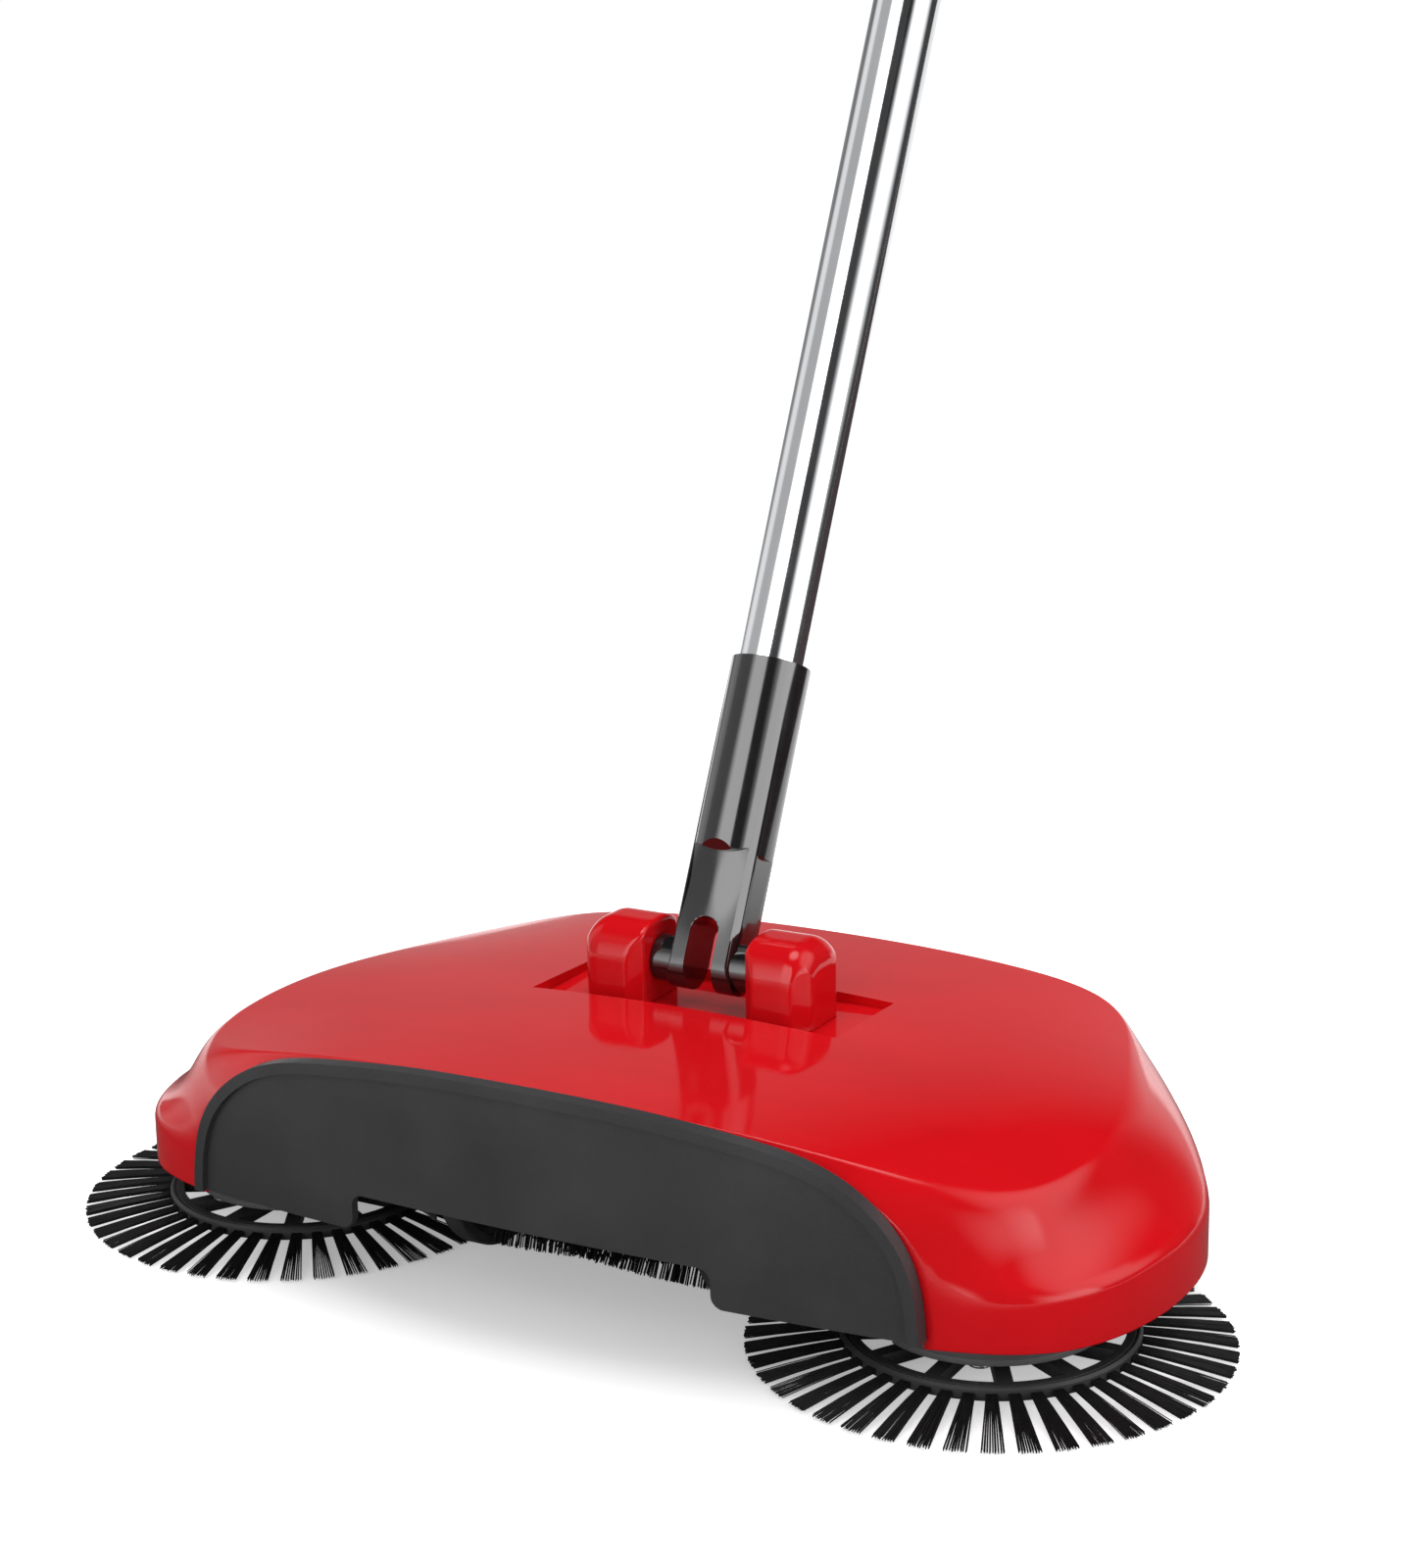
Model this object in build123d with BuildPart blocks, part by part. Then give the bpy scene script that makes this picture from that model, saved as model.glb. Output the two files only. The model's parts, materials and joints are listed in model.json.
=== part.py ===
"""Hand-push carpet sweeper with two spinning disc brushes, a roller brush and a pole handle.

Millimetres, +Z up. The origin is on the floor, midway between the two disc brushes and under the axle.
+X runs along the axle to the right, and the front faces -Y.
"""
import os
from math import atan2, cos, degrees, hypot, pi, radians, sin

from build123d import *

os.makedirs("parts", exist_ok=True)

# Fits and clearances
running_fit = 0.05
seat_gap = 0.05
part_gap = 0.5
floor_clearance = 0.4

# Drive train
axle_z = 33.0
axle_r = 4.0
axle_half_length = 106.0
wheel_inner_x = 41.5
wheel_width = 6.5
tyre_depth = 3.5
hub_r = 9.0
wheel_hole_count = 5
roller_half_length = 39.5
roller_core_r = 9.0
roller_backing = 1.4
roller_rows = 4
roller_tufts = 12
roller_twist = 26.0
roller_strand = 1.5
bush_r = 6.5
bearing_x = 81.0
bearing_width = 4.0
ring_width = 1.5
ring_r = 7.0

# Bevel gears, whose apex is where the axle crosses the spindle
pinion_teeth = 15
gear_teeth = 25
gear_module = 2.0
tooth_addendum = 1.5
tooth_dedendum = 2.1
tooth_thickness = 2.3
tooth_tip_thickness = 1.3
tooth_small_end = 0.64
pinion_hub_r = 11.5
pinion_hub_length = 7.0
gear_back_z = 12.5

# Disc brushes
disc_x = 121.0
disc_tip_r = 71.0
ring_outer_r = 43.5
ring_inner_r = 39.0
bristle_backing = 1.8
wheel_bottom_z = 2.4
wheel_top_z = 6.4
spoke_count = 12
spoke_width = 4.6
disc_boss_r = 11.5
disc_boss_bottom_z = 1.4
disc_boss_top_z = 7.5
tuft_count = 44
tuft_strands = 4
tuft_root_width = 2.7
tuft_tip_width = 5.4
strand_thickness = 0.9
bristle_root_z = 4.4
screw_head_r = 7.0
screw_head_height = 1.8
screw_shank_r = 2.0
screw_length = 11.0
spindle_r = 4.0
spindle_top_gap = 2.0

# Gear cases and their cover plates
plate_r = 34.5
plate_bottom_z = 8.5
plate_thickness = 2.0
plate_flat = 16.6
plate_notch_depth = 4.0
plate_notch_width = 14.0
plate_screw_out = 10.0
plate_screw_front = 29.5
case_wall = 2.5
small_head_r = 3.4
small_head_height = 1.7
small_shank_r = 1.5
small_screw_length = 9.0

# Plan outline of the shell at the skirt, right half
skirt_front = (123.3, -47.9)
skirt_nose = (151.5, -35.6)
skirt_side = (170.5, 7.3)
skirt_hip = (163.4, 61.5)
skirt_shoulder = (139.0, 94.7)
skirt_corner = (108.7, 136.5)
skirt_tail = (79.9, 150.4)
skirt_rear_y = 158.0

# How far the wall leans in from the skirt to the loft's top, at the same places
lean_front = (31.9, -16.2)
lean_nose = (26.9, -18.8)
lean_side = (40.7, 0.5)
lean_hip = (35.9, 16.9)
lean_shoulder = (19.4, 6.9)
lean_corner = (15.2, 5.9)
lean_tail = (10.3, 17.9)
lean_rear = 25.2

# Share of the lean added half way up the visible band: hollow where positive, full where negative
hollow_front = 0.04
hollow_nose = 0.27
hollow_side = 0.06
hollow_hip = -0.11
hollow_shoulder = -0.14
hollow_corner = 0.03
hollow_tail = -0.04

# Shell heights
shell_wall = 2.5
skirt_bottom_z = 18.0
skirt_top_z = 34.0
loft_top_z = 80.0
band_middle_z = 48.3

# Dome of the deck at three depths: its height in the middle, its radius there and its fall 100 mm out
dome_front_y = -58.0
dome_front_z = 75.4
dome_front_r = 847.0
dome_front_fall = 3.25
dome_middle_y = 10.0
dome_middle_z = 72.9
dome_middle_r = 885.0
dome_middle_fall = 0.45
dome_rear_y = 140.0
dome_rear_z = 67.9
dome_rear_r = 1160.0
dome_rear_fall = 3.6

# Front panel
front_y = -58.0
front_bow_r = 1063.0
panel_thickness = 3.0
panel_half_width = 123.4
panel_bottom_z = 20.5
panel_arch = [(122.6, 30.0), (119.8, 42.0), (114.0, 52.0), (106.5, 59.3), (99.0, 64.2), (90.0, 67.9)]
panel_crown = [(70.0, 71.8), (40.0, 74.7)]
panel_top_z = 75.7
panel_reveal = 0.7
front_blend_y = -50.0
front_blend_length = 60.0
front_blend_rise = 66.0
front_blend_spread = 165.0
panel_rim_width = 3.5
panel_rim_proud = 2.0
notch_half_width = 61.0
notch_top_z = 32.0
notch_corner_r = 4.0
clip_x = 25.0
clip_width = 10.0
clip_height = 6.0
clip_z = 36.0

# Base
base_floor_z = 9.0
base_wall = 2.5
pocket_r = 75.0
pocket_ceiling_z = 20.0
base_front_y = -47.0
well_half_width = 51.0
well_wall = 3.0
well_rear_y = 31.0
well_wall_top_z = 48.0
rail_bottom_z = 34.0
well_toe_z = 34.0
well_toe_y = -22.0
bearing_half_depth = 11.0
shell_screw_x = 99.0
shell_screw_y = 120.0
shell_post_r = 5.0
shell_post_z = 20.0

# Ramp and its clamp strip
ramp_half_width = 39.5
ramp_front_y = 12.0
ramp_front_z = 1.2
ramp_thickness = 1.1
ramp_flange_half = 58.0
strip_half_width = 60.0
strip_front_y = 33.0
strip_rear_y = 52.0
strip_thickness = 2.0
strip_screw_x = 41.0

# Dust tray
tray_hinge_y = 82.0
tray_hinge_z = 13.0
tray_barrel_r = 4.0
tray_ear_half = 102.0
tray_ear_rear_y = 103.0
tray_half_width = 80.0
tray_wall = 2.0
tray_floor = 2.5
tray_side_front_y = 88.0
tray_tab_half = 28.5
tray_tab_reach = 4.0
tray_tab_height = 4.0
tray_pin_r = 1.5
tray_pin_length = 14.0
lug_thickness = 4.0
lug_half_depth = 6.0
lug_top = 5.0

# Rear support wheel
rear_wheel_y = 124.0
rear_wheel_r = 11.0
rear_wheel_width = 10.0
carrier_width = 20.5
carrier_length = 32.0
carrier_proud = 1.5
carrier_roof = 2.0
well_gap = 1.25
rear_pin_r = 1.5

# Handle hinge
pivot_y = 55.0
pivot_z = 80.0
handle_lean = 26.0
recess_half_width = 54.0
recess_front_y = 35.0
recess_rear_y = 76.0
recess_floor_z = 66.5
recess_pad = 3.0
boss_inner_x = 18.0
boss_width = 22.5
boss_half_depth = 15.0
boss_top_z = 93.0
boss_round = 12.0
boss_corner = 4.5
boss_edge = 1.2
boss_screw_half = 8.0
hinge_pin_r = 4.0
hinge_pin_depth = 14.0

# Fork, tubes and grip, measured along the handle from its pivot
fork_half_width = 11.5
fork_depth = 17.5
fork_square_end = 39.0
fork_lobe = 4.0
fork_scoop_r = 14.0
fork_scoop_depth = 1.3
fork_scoop_place = 27.0
fork_slot = 10.0
fork_slot_top = 14.0
fork_hub_r = 7.5
sleeve_r = 13.0
sleeve_end = 98.0
tube_r = 11.0
tube_wall = 0.35
tube_start = 44.0
tube_lower_length = 350.0
tube_middle_length = 330.0
tube_upper_length = 300.0
coupler_collar_r = 11.9
coupler_collar = 8.0
coupler_plug = 26.0
coupler_wall = 2.0
grip_length = 125.0
grip_overlap = 90.0
grip_r = 14.0
grip_waist_r = 12.9
grip_flat = 14.0
hang_hole_r = 4.5
hang_hole_inset = 14.0

# Places that follow from the sizes above
tyre_r = axle_z
apex_gear = gear_teeth * gear_module / 2
apex_pinion = pinion_teeth * gear_module / 2
pocket_plate_top_z = pocket_ceiling_z + base_wall
floor_top_z = base_floor_z + base_wall
front_far_y = front_y - 3 * panel_thickness
plate_top_z = plate_bottom_z + plate_thickness
strip_top_z = base_floor_z - ramp_thickness
strip_bottom_z = strip_top_z - strip_thickness
strip_mid_y = (strip_front_y + strip_rear_y) / 2
tray_wall_top_z = skirt_top_z - part_gap
boss_mid_x = boss_inner_x + boss_width / 2
base_inset = shell_wall + part_gap
sides = (("right", 1), ("left", -1))
handle_plane = Plane(
    origin=(0, pivot_y, pivot_z),
    x_dir=(1, 0, 0),
    z_dir=(0, sin(radians(handle_lean)), cos(radians(handle_lean))),
)
pivot_plane = Plane(origin=(0, pivot_y, pivot_z), x_dir=(0, 1, 0), z_dir=(1, 0, 0))
axle_plane = Plane(origin=(0, 0, axle_z), x_dir=(0, 1, 0), z_dir=(1, 0, 0))


def save(piece, name):
    """Label a finished piece and write its file."""
    piece.part.label = name
    export_step(piece.part, f"parts/{name}.step")


def moved_in(points, amount):
    """Points of an outline moved square to it, towards the inside."""
    moved = []
    for index, (x, y) in enumerate(points):
        before = points[max(index - 1, 0)]
        after = points[min(index + 1, len(points) - 1)]
        run_x = after[0] - before[0]
        run_y = after[1] - before[1]
        run = hypot(run_x, run_y)
        moved.append((x - amount * run_y / run, y + amount * run_x / run))
    return moved


def level_points(inset, share, hollow_share):
    """Plan outline at a share of the way up the loft, right half, drawn in by the inset."""
    points = [skirt_front, skirt_nose, skirt_side, skirt_hip, skirt_shoulder, skirt_corner, skirt_tail]
    leans = [lean_front, lean_nose, lean_side, lean_hip, lean_shoulder, lean_corner, lean_tail]
    hollows = [
        hollow_front,
        hollow_nose,
        hollow_side,
        hollow_hip,
        hollow_shoulder,
        hollow_corner,
        hollow_tail,
    ]
    leaned = []
    for (x, y), (dx, dy), hollow in zip(points, leans, hollows):
        moved = share + hollow_share * hollow
        leaned.append((x - moved * dx, y - moved * dy))
    return moved_in(leaned, inset)


def skirt_points(inset):
    return level_points(inset, 0, 0)


def outline(points, rear_y):
    """Closed plan outline, straight across the front and round the rear."""
    front_x, front_corner_y = points[0]
    tail_x, tail_y = points[-1]
    with BuildLine() as wire:
        Line((front_x, front_far_y), (front_x, front_corner_y))
        Spline(*points)
        ThreePointArc((tail_x, tail_y), (0, rear_y), (-tail_x, tail_y))
        Spline(*[(-x, y) for x, y in reversed(points)])
        Line((-front_x, front_corner_y), (-front_x, front_far_y))
        Line((-front_x, front_far_y), (front_x, front_far_y))
    return wire.line


def dome_values(y):
    """Middle height, bend and outer fall of the dome at a depth, by a parabola through its three."""
    depths = (dome_front_y, dome_middle_y, dome_rear_y)
    rows = (
        (dome_front_z, 1 / dome_front_r, dome_front_fall),
        (dome_middle_z, 1 / dome_middle_r, dome_middle_fall),
        (dome_rear_z, 1 / dome_rear_r, dome_rear_fall),
    )
    totals = [0.0, 0.0, 0.0]
    for depth, row in zip(depths, rows):
        weight = 1.0
        for other in depths:
            if other != depth:
                weight *= (y - other) / (depth - other)
        totals = [total + weight * value for total, value in zip(totals, row)]
    return totals


def dome_body(inset):
    """All that lies under the dome, wider and deeper than the shell."""
    span = 2 * panel_half_width
    steps = 8
    depths = (front_far_y, dome_front_y / 2, dome_middle_y, dome_rear_y / 2, dome_rear_y, skirt_rear_y * 1.1)
    with BuildPart() as body:
        for y in depths:
            top_z, bend, fall = dome_values(y)
            points = []
            for step in range(-steps, steps + 1):
                x = span * step / steps * 0.75
                points.append((x, top_z - inset - bend * x * x / 2 - fall * (x / 100) ** 4))
            with BuildSketch(Plane.XZ.offset(-y)):
                with BuildLine():
                    Spline(*points)
                    Line(points[-1], (points[-1][0], -loft_top_z))
                    Line((points[-1][0], -loft_top_z), (points[0][0], -loft_top_z))
                    Line((points[0][0], -loft_top_z), points[0])
                make_face()
        loft()
    return body


def panel_points(inset):
    """Right half of the panel's outline in front view, from the bottom to the top."""
    return moved_in([(panel_half_width, panel_bottom_z)] + panel_arch + panel_crown, inset)


def panel_face(points, top_z):
    """Panel outline in front view, carried down to the floor."""
    side_x = points[0][0]
    mirrored = [(-x, z) for x, z in reversed(points)]
    with BuildLine() as wire:
        Line((side_x, 0), points[0])
        Spline(*points, (0, top_z), *mirrored)
        Line(mirrored[-1], (-side_x, 0))
        Line((-side_x, 0), (side_x, 0))
    return wire.line


def front_waste(inset):
    """What is cut from the body's front so that it comes down to the panel's outline."""
    points = panel_points(panel_reveal + inset)
    top_z = panel_top_z - panel_reveal - inset
    spread = []
    for x, z in points:
        out = x / panel_half_width
        lift = (z - panel_bottom_z) / (panel_top_z - panel_bottom_z)
        spread.append((x + out * front_blend_spread, z + lift * front_blend_rise))
    with BuildPart() as prism:
        with BuildSketch(Plane.XZ.offset(-front_far_y)):
            add(panel_face(points, top_z))
            make_face()
        extrude(amount=-(front_blend_y - front_far_y))
        with BuildSketch(Plane.XZ.offset(-front_blend_y)):
            add(panel_face(points, top_z))
            make_face()
        with BuildSketch(Plane.XZ.offset(-front_blend_y - front_blend_length)):
            add(panel_face(spread, top_z + front_blend_rise))
            make_face()
        loft(ruled=True)
    with BuildPart() as waste:
        with Locations((0, front_far_y, 0)):
            Box(
                4 * panel_half_width,
                front_blend_y + front_blend_length - front_far_y,
                2 * loft_top_z,
                align=(Align.CENTER, Align.MIN, Align.MIN),
            )
        add(prism.part, mode=Mode.SUBTRACT)
    return waste


def hull(inset, bottom_z):
    """Body of the shell, drawn in by the inset."""
    middle_share = (band_middle_z - skirt_top_z) / (loft_top_z - skirt_top_z)
    levels = (
        (skirt_top_z, 0, 0),
        (band_middle_z, middle_share, 1),
        (loft_top_z, 1, 0),
    )
    with BuildPart() as body:
        with BuildSketch(Plane.XY.offset(bottom_z)):
            add(outline(skirt_points(inset), skirt_rear_y - inset))
            make_face()
        extrude(amount=skirt_top_z - bottom_z)
        for z, share, hollow_share in levels:
            with BuildSketch(Plane.XY.offset(z)):
                points = level_points(inset, share, hollow_share)
                add(outline(points, skirt_rear_y - share * lean_rear - inset))
                make_face()
        loft()
        add(dome_body(inset).part, mode=Mode.INTERSECT)
        add(front_waste(inset).part, mode=Mode.SUBTRACT)
    return body


def front_band(near, far):
    """Bowed slab between two depths behind the front face, taller than the body."""
    half = 2 * panel_half_width
    bow = half**2 / (2 * front_bow_r)
    with BuildPart() as band:
        with BuildSketch():
            with BuildLine():
                ThreePointArc((-half, front_y + near + bow), (0, front_y + near), (half, front_y + near + bow))
                Line((half, front_y + near + bow), (half, front_y + far + bow))
                ThreePointArc((half, front_y + far + bow), (0, front_y + far), (-half, front_y + far + bow))
                Line((-half, front_y + far + bow), (-half, front_y + near + bow))
            make_face()
        extrude(amount=loft_top_z + 2 * panel_thickness)
    return band


# Top shell
outer_hull = hull(0, skirt_bottom_z)
inner_hull = hull(shell_wall, skirt_bottom_z - 1)
recess_mid_y = (recess_front_y + recess_rear_y) / 2
recess_length = recess_rear_y - recess_front_y
pad_length = recess_length + 2 * shell_wall
pad_width = 2 * recess_half_width + 2 * shell_wall
with BuildPart() as hollow:
    add(inner_hull.part)
    with Locations((0, recess_mid_y, recess_floor_z)):
        Box(
            pad_width,
            pad_length,
            recess_pad,
            align=(Align.CENTER, Align.CENTER, Align.MAX),
            mode=Mode.SUBTRACT,
        )
        Box(
            pad_width,
            pad_length,
            loft_top_z - recess_floor_z,
            align=(Align.CENTER, Align.CENTER, Align.MIN),
            mode=Mode.SUBTRACT,
        )
    for x in (-shell_screw_x, shell_screw_x):
        with Locations((x, shell_screw_y, shell_post_z)):
            Cylinder(
                shell_post_r,
                loft_top_z,
                align=(Align.CENTER, Align.CENTER, Align.MIN),
                mode=Mode.SUBTRACT,
            )
with BuildPart() as top_shell:
    add(outer_hull.part)
    add(hollow.part, mode=Mode.SUBTRACT)
    add(front_band(front_y, panel_thickness).part, mode=Mode.SUBTRACT)
    with Locations((0, recess_mid_y, recess_floor_z)):
        Box(
            2 * recess_half_width,
            recess_length,
            loft_top_z,
            align=(Align.CENTER, Align.CENTER, Align.MIN),
            mode=Mode.SUBTRACT,
        )
    with Locations((0, skirt_rear_y, 0)):
        Box(
            2 * tray_half_width + 2 * part_gap,
            skirt_rear_y,
            skirt_top_z,
            align=(Align.CENTER, Align.CENTER, Align.MIN),
            mode=Mode.SUBTRACT,
        )
    with Locations(
        *[
            (x, y, recess_floor_z)
            for x in (-boss_mid_x, boss_mid_x)
            for y in (pivot_y - boss_screw_half, pivot_y + boss_screw_half)
        ]
    ):
        Cylinder(small_shank_r + running_fit, 4 * recess_pad, mode=Mode.SUBTRACT)
    with Locations(*[(x, shell_screw_y, shell_post_z) for x in (-shell_screw_x, shell_screw_x)]):
        Cylinder(small_shank_r + running_fit, 4 * small_screw_length, mode=Mode.SUBTRACT)
save(top_shell, "top_shell")

# Front panel, whose raised rim stands round the shell's front edge
with BuildPart() as front_panel:
    with BuildSketch(Plane.XZ.offset(-front_far_y)):
        add(panel_face(panel_points(0), panel_top_z))
        make_face()
    extrude(amount=4 * front_far_y)
    add(front_band(0, panel_thickness).part, mode=Mode.INTERSECT)
    with BuildPart(mode=Mode.PRIVATE) as panel_rim:
        with BuildSketch(Plane.XZ.offset(-front_far_y)):
            add(panel_face(panel_points(0), panel_top_z))
            make_face()
            with BuildSketch(mode=Mode.PRIVATE) as inside:
                add(panel_face(panel_points(panel_rim_width), panel_top_z - panel_rim_width))
                make_face()
            add(inside.sketch, mode=Mode.SUBTRACT)
        extrude(amount=4 * front_far_y)
        add(front_band(-panel_rim_proud, panel_thickness).part, mode=Mode.INTERSECT)
    add(panel_rim.part)
    with BuildSketch(Plane.XZ):
        Rectangle(4 * panel_half_width, panel_bottom_z, align=(Align.CENTER, Align.MIN))
        Rectangle(2 * notch_half_width, notch_top_z, align=(Align.CENTER, Align.MIN))
    extrude(amount=-2 * front_y, mode=Mode.SUBTRACT)
    notch_edges = front_panel.edges().filter_by(Axis.Y, tolerance=5)
    notch_edges = notch_edges.filter_by(lambda edge: abs(abs(edge.center().X) - notch_half_width) < 1)
    fillet(notch_edges, notch_corner_r)
    with Locations(*[(x, front_y + panel_thickness - seat_gap, clip_z) for x in (-clip_x, clip_x)]):
        Box(
            clip_width,
            base_front_y - front_y - panel_thickness,
            clip_height,
            align=(Align.CENTER, Align.MIN, Align.MIN),
        )
save(front_panel, "front_panel")

# Base with its pockets, gear cases, roller well, bearing walls and tray opening
with BuildPart() as base_plate:
    with BuildSketch(Plane.XY.offset(base_floor_z)):
        add(outline(skirt_points(base_inset), skirt_rear_y - base_inset))
        make_face()
        with Locations((0, base_front_y)):
            Rectangle(
                4 * panel_half_width,
                -2 * front_y,
                align=(Align.CENTER, Align.MAX),
                mode=Mode.SUBTRACT,
            )
    extrude(amount=pocket_plate_top_z - base_floor_z)
    with BuildSketch(Plane.XY.offset(floor_top_z)):
        add(outline(skirt_points(base_inset + base_wall), skirt_rear_y - base_inset - base_wall))
        make_face()
        with Locations((0, well_rear_y)):
            Rectangle(
                4 * panel_half_width,
                4 * panel_half_width,
                align=(Align.CENTER, Align.MAX),
                mode=Mode.SUBTRACT,
            )
        with Locations((-disc_x, 0), (disc_x, 0)):
            Circle(pocket_r + base_wall, mode=Mode.SUBTRACT)
    extrude(amount=pocket_plate_top_z, mode=Mode.SUBTRACT)
    with Locations(*[(x, (base_front_y + well_rear_y) / 2, base_floor_z) for x in (
        -well_half_width - well_wall / 2, well_half_width + well_wall / 2)]):
        Box(
            well_wall,
            well_rear_y - base_front_y,
            well_wall_top_z - base_floor_z,
            align=(Align.CENTER, Align.CENTER, Align.MIN),
        )
    with Locations(*[(x * disc_x, 0, base_floor_z) for x in (-1, 1)]):
        Cylinder(
            pocket_r,
            pocket_ceiling_z - base_floor_z,
            align=(Align.CENTER, Align.CENTER, Align.MIN),
            mode=Mode.SUBTRACT,
        )
    with Locations((0, base_front_y - 1, 0)):
        Box(
            2 * well_half_width,
            well_rear_y - base_front_y + 1,
            4 * well_wall_top_z,
            align=(Align.CENTER, Align.MIN, Align.CENTER),
            mode=Mode.SUBTRACT,
        )
    with BuildSketch(Plane.YZ):
        Polygon(
            (base_front_y - 1, 0),
            (well_toe_y, 0),
            (well_toe_y, base_floor_z),
            (base_front_y, well_toe_z),
            (base_front_y - 1, well_toe_z),
            align=None,
        )
    extrude(amount=disc_x - plate_r, both=True, mode=Mode.SUBTRACT)
    with Locations((0, base_front_y, rail_bottom_z)):
        Box(
            2 * well_half_width + well_wall,
            base_wall,
            well_wall_top_z - rail_bottom_z,
            align=(Align.CENTER, Align.MIN, Align.MIN),
        )
    with Locations(*[(x * disc_x, 0, plate_top_z) for x in (-1, 1)]):
        Cylinder(plate_r, pocket_plate_top_z - plate_top_z, align=(Align.CENTER, Align.CENTER, Align.MIN))
        Cylinder(
            plate_r - case_wall,
            4 * pocket_plate_top_z,
            mode=Mode.SUBTRACT,
        )
    for side in (-1, 1):
        with Locations((side * (disc_x + plate_screw_out), -plate_screw_front, plate_top_z)):
            Cylinder(
                small_head_r,
                pocket_plate_top_z - plate_top_z,
                align=(Align.CENTER, Align.CENTER, Align.MIN),
            )
            Cylinder(small_shank_r + running_fit, 4 * pocket_plate_top_z, mode=Mode.SUBTRACT)
        with Locations((side * (disc_x - plate_flat), 0, 0)):
            Box(
                plate_r - plate_flat + part_gap,
                2 * (apex_pinion + 2 * tooth_addendum),
                4 * pocket_plate_top_z,
                align=(Align.MAX if side > 0 else Align.MIN, Align.CENTER, Align.CENTER),
                mode=Mode.SUBTRACT,
            )
        with Locations((side * (bearing_x + bearing_width / 2), 0, pocket_ceiling_z)):
            Box(
                bearing_width,
                2 * bearing_half_depth,
                axle_z + bearing_half_depth - pocket_ceiling_z,
                align=(Align.CENTER, Align.CENTER, Align.MIN),
            )
        with Locations((side * shell_screw_x, shell_screw_y, base_floor_z)):
            Cylinder(
                shell_post_r,
                shell_post_z - base_floor_z - part_gap,
                align=(Align.CENTER, Align.CENTER, Align.MIN),
            )
            Cylinder(small_shank_r + running_fit, 4 * shell_post_z, mode=Mode.SUBTRACT)
            Cylinder(
                small_head_r + running_fit,
                small_head_height,
                align=(Align.CENTER, Align.CENTER, Align.MIN),
                mode=Mode.SUBTRACT,
            )
        with Locations((side * strip_screw_x, strip_mid_y, base_floor_z)):
            Cylinder(small_shank_r + running_fit, 4 * base_wall, mode=Mode.SUBTRACT)
    with BuildSketch(axle_plane):
        Circle(bush_r + seat_gap)
    extrude(amount=2 * bearing_x, both=True, mode=Mode.SUBTRACT)
    with BuildSketch(Plane.XY):
        with Locations((0, tray_hinge_y - tray_barrel_r - part_gap)):
            Rectangle(
                2 * tray_ear_half,
                tray_ear_rear_y - tray_hinge_y + tray_barrel_r + part_gap,
                align=(Align.CENTER, Align.MIN),
            )
        with Locations((0, tray_hinge_y)):
            Rectangle(2 * tray_half_width, skirt_rear_y, align=(Align.CENTER, Align.MIN))
    extrude(amount=2 * pocket_plate_top_z, mode=Mode.SUBTRACT)
    with Locations(*[(x * (tray_ear_half + lug_thickness / 2), tray_hinge_y, base_floor_z) for x in (-1, 1)]):
        Box(
            lug_thickness,
            2 * lug_half_depth,
            tray_hinge_z - base_floor_z + lug_top,
            align=(Align.CENTER, Align.CENTER, Align.MIN),
        )
    with BuildSketch(Plane(origin=(0, tray_hinge_y, tray_hinge_z), x_dir=(0, 1, 0), z_dir=(1, 0, 0))):
        Circle(tray_pin_r + seat_gap)
    extrude(amount=tray_ear_half + 2 * lug_thickness, both=True, mode=Mode.SUBTRACT)
save(base_plate, "base_plate")

# Cover plates of the gear cases
for name, side in sides:
    with BuildPart() as gear_plate:
        with BuildSketch(Plane.XY.offset(plate_bottom_z)):
            with Locations((side * disc_x, 0)):
                Circle(plate_r)
            with Locations((side * (disc_x - plate_flat), 0)):
                Rectangle(
                    plate_r,
                    2 * plate_r,
                    align=(Align.MAX if side > 0 else Align.MIN, Align.CENTER),
                    mode=Mode.SUBTRACT,
                )
                Rectangle(2 * plate_notch_depth, plate_notch_width, mode=Mode.SUBTRACT)
            with Locations((side * disc_x, 0)):
                Circle(bush_r + seat_gap, mode=Mode.SUBTRACT)
            with Locations((side * (disc_x + plate_screw_out), -plate_screw_front)):
                Circle(small_shank_r + running_fit, mode=Mode.SUBTRACT)
        extrude(amount=plate_thickness)
    save(gear_plate, f"gear_plate_{name}")

# Hinge bosses, screwed to the deck from inside
boss_height = boss_top_z - recess_floor_z
for name, side in sides:
    with BuildPart() as hinge_boss:
        with Locations((side * boss_mid_x, pivot_y, recess_floor_z)):
            Box(boss_width, 2 * boss_half_depth, boss_height, align=(Align.CENTER, Align.CENTER, Align.MIN))
        fillet(hinge_boss.edges().filter_by(Axis.X).group_by(Axis.Z)[-1], boss_round)
        with BuildSketch(Plane.XY.offset(recess_floor_z)):
            with Locations((side * boss_mid_x, pivot_y)):
                Rectangle(boss_width, 2 * boss_half_depth)
            chamfer(vertices(), boss_corner)
        extrude(amount=boss_height, mode=Mode.INTERSECT)
        upper_edges = hinge_boss.edges().filter_by(lambda edge: edge.center().Z > recess_floor_z + 1)
        fillet(upper_edges, boss_edge)
        with BuildSketch(pivot_plane.offset(side * boss_inner_x)):
            Circle(hinge_pin_r + running_fit)
        extrude(amount=side * hinge_pin_depth, mode=Mode.SUBTRACT)
        with Locations(
            *[
                (side * boss_mid_x, y, recess_floor_z)
                for y in (pivot_y - boss_screw_half, pivot_y + boss_screw_half)
            ]
        ):
            Cylinder(small_shank_r + seat_gap, 2 * small_screw_length, mode=Mode.SUBTRACT)
    save(hinge_boss, f"hinge_boss_{name}")


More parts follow.
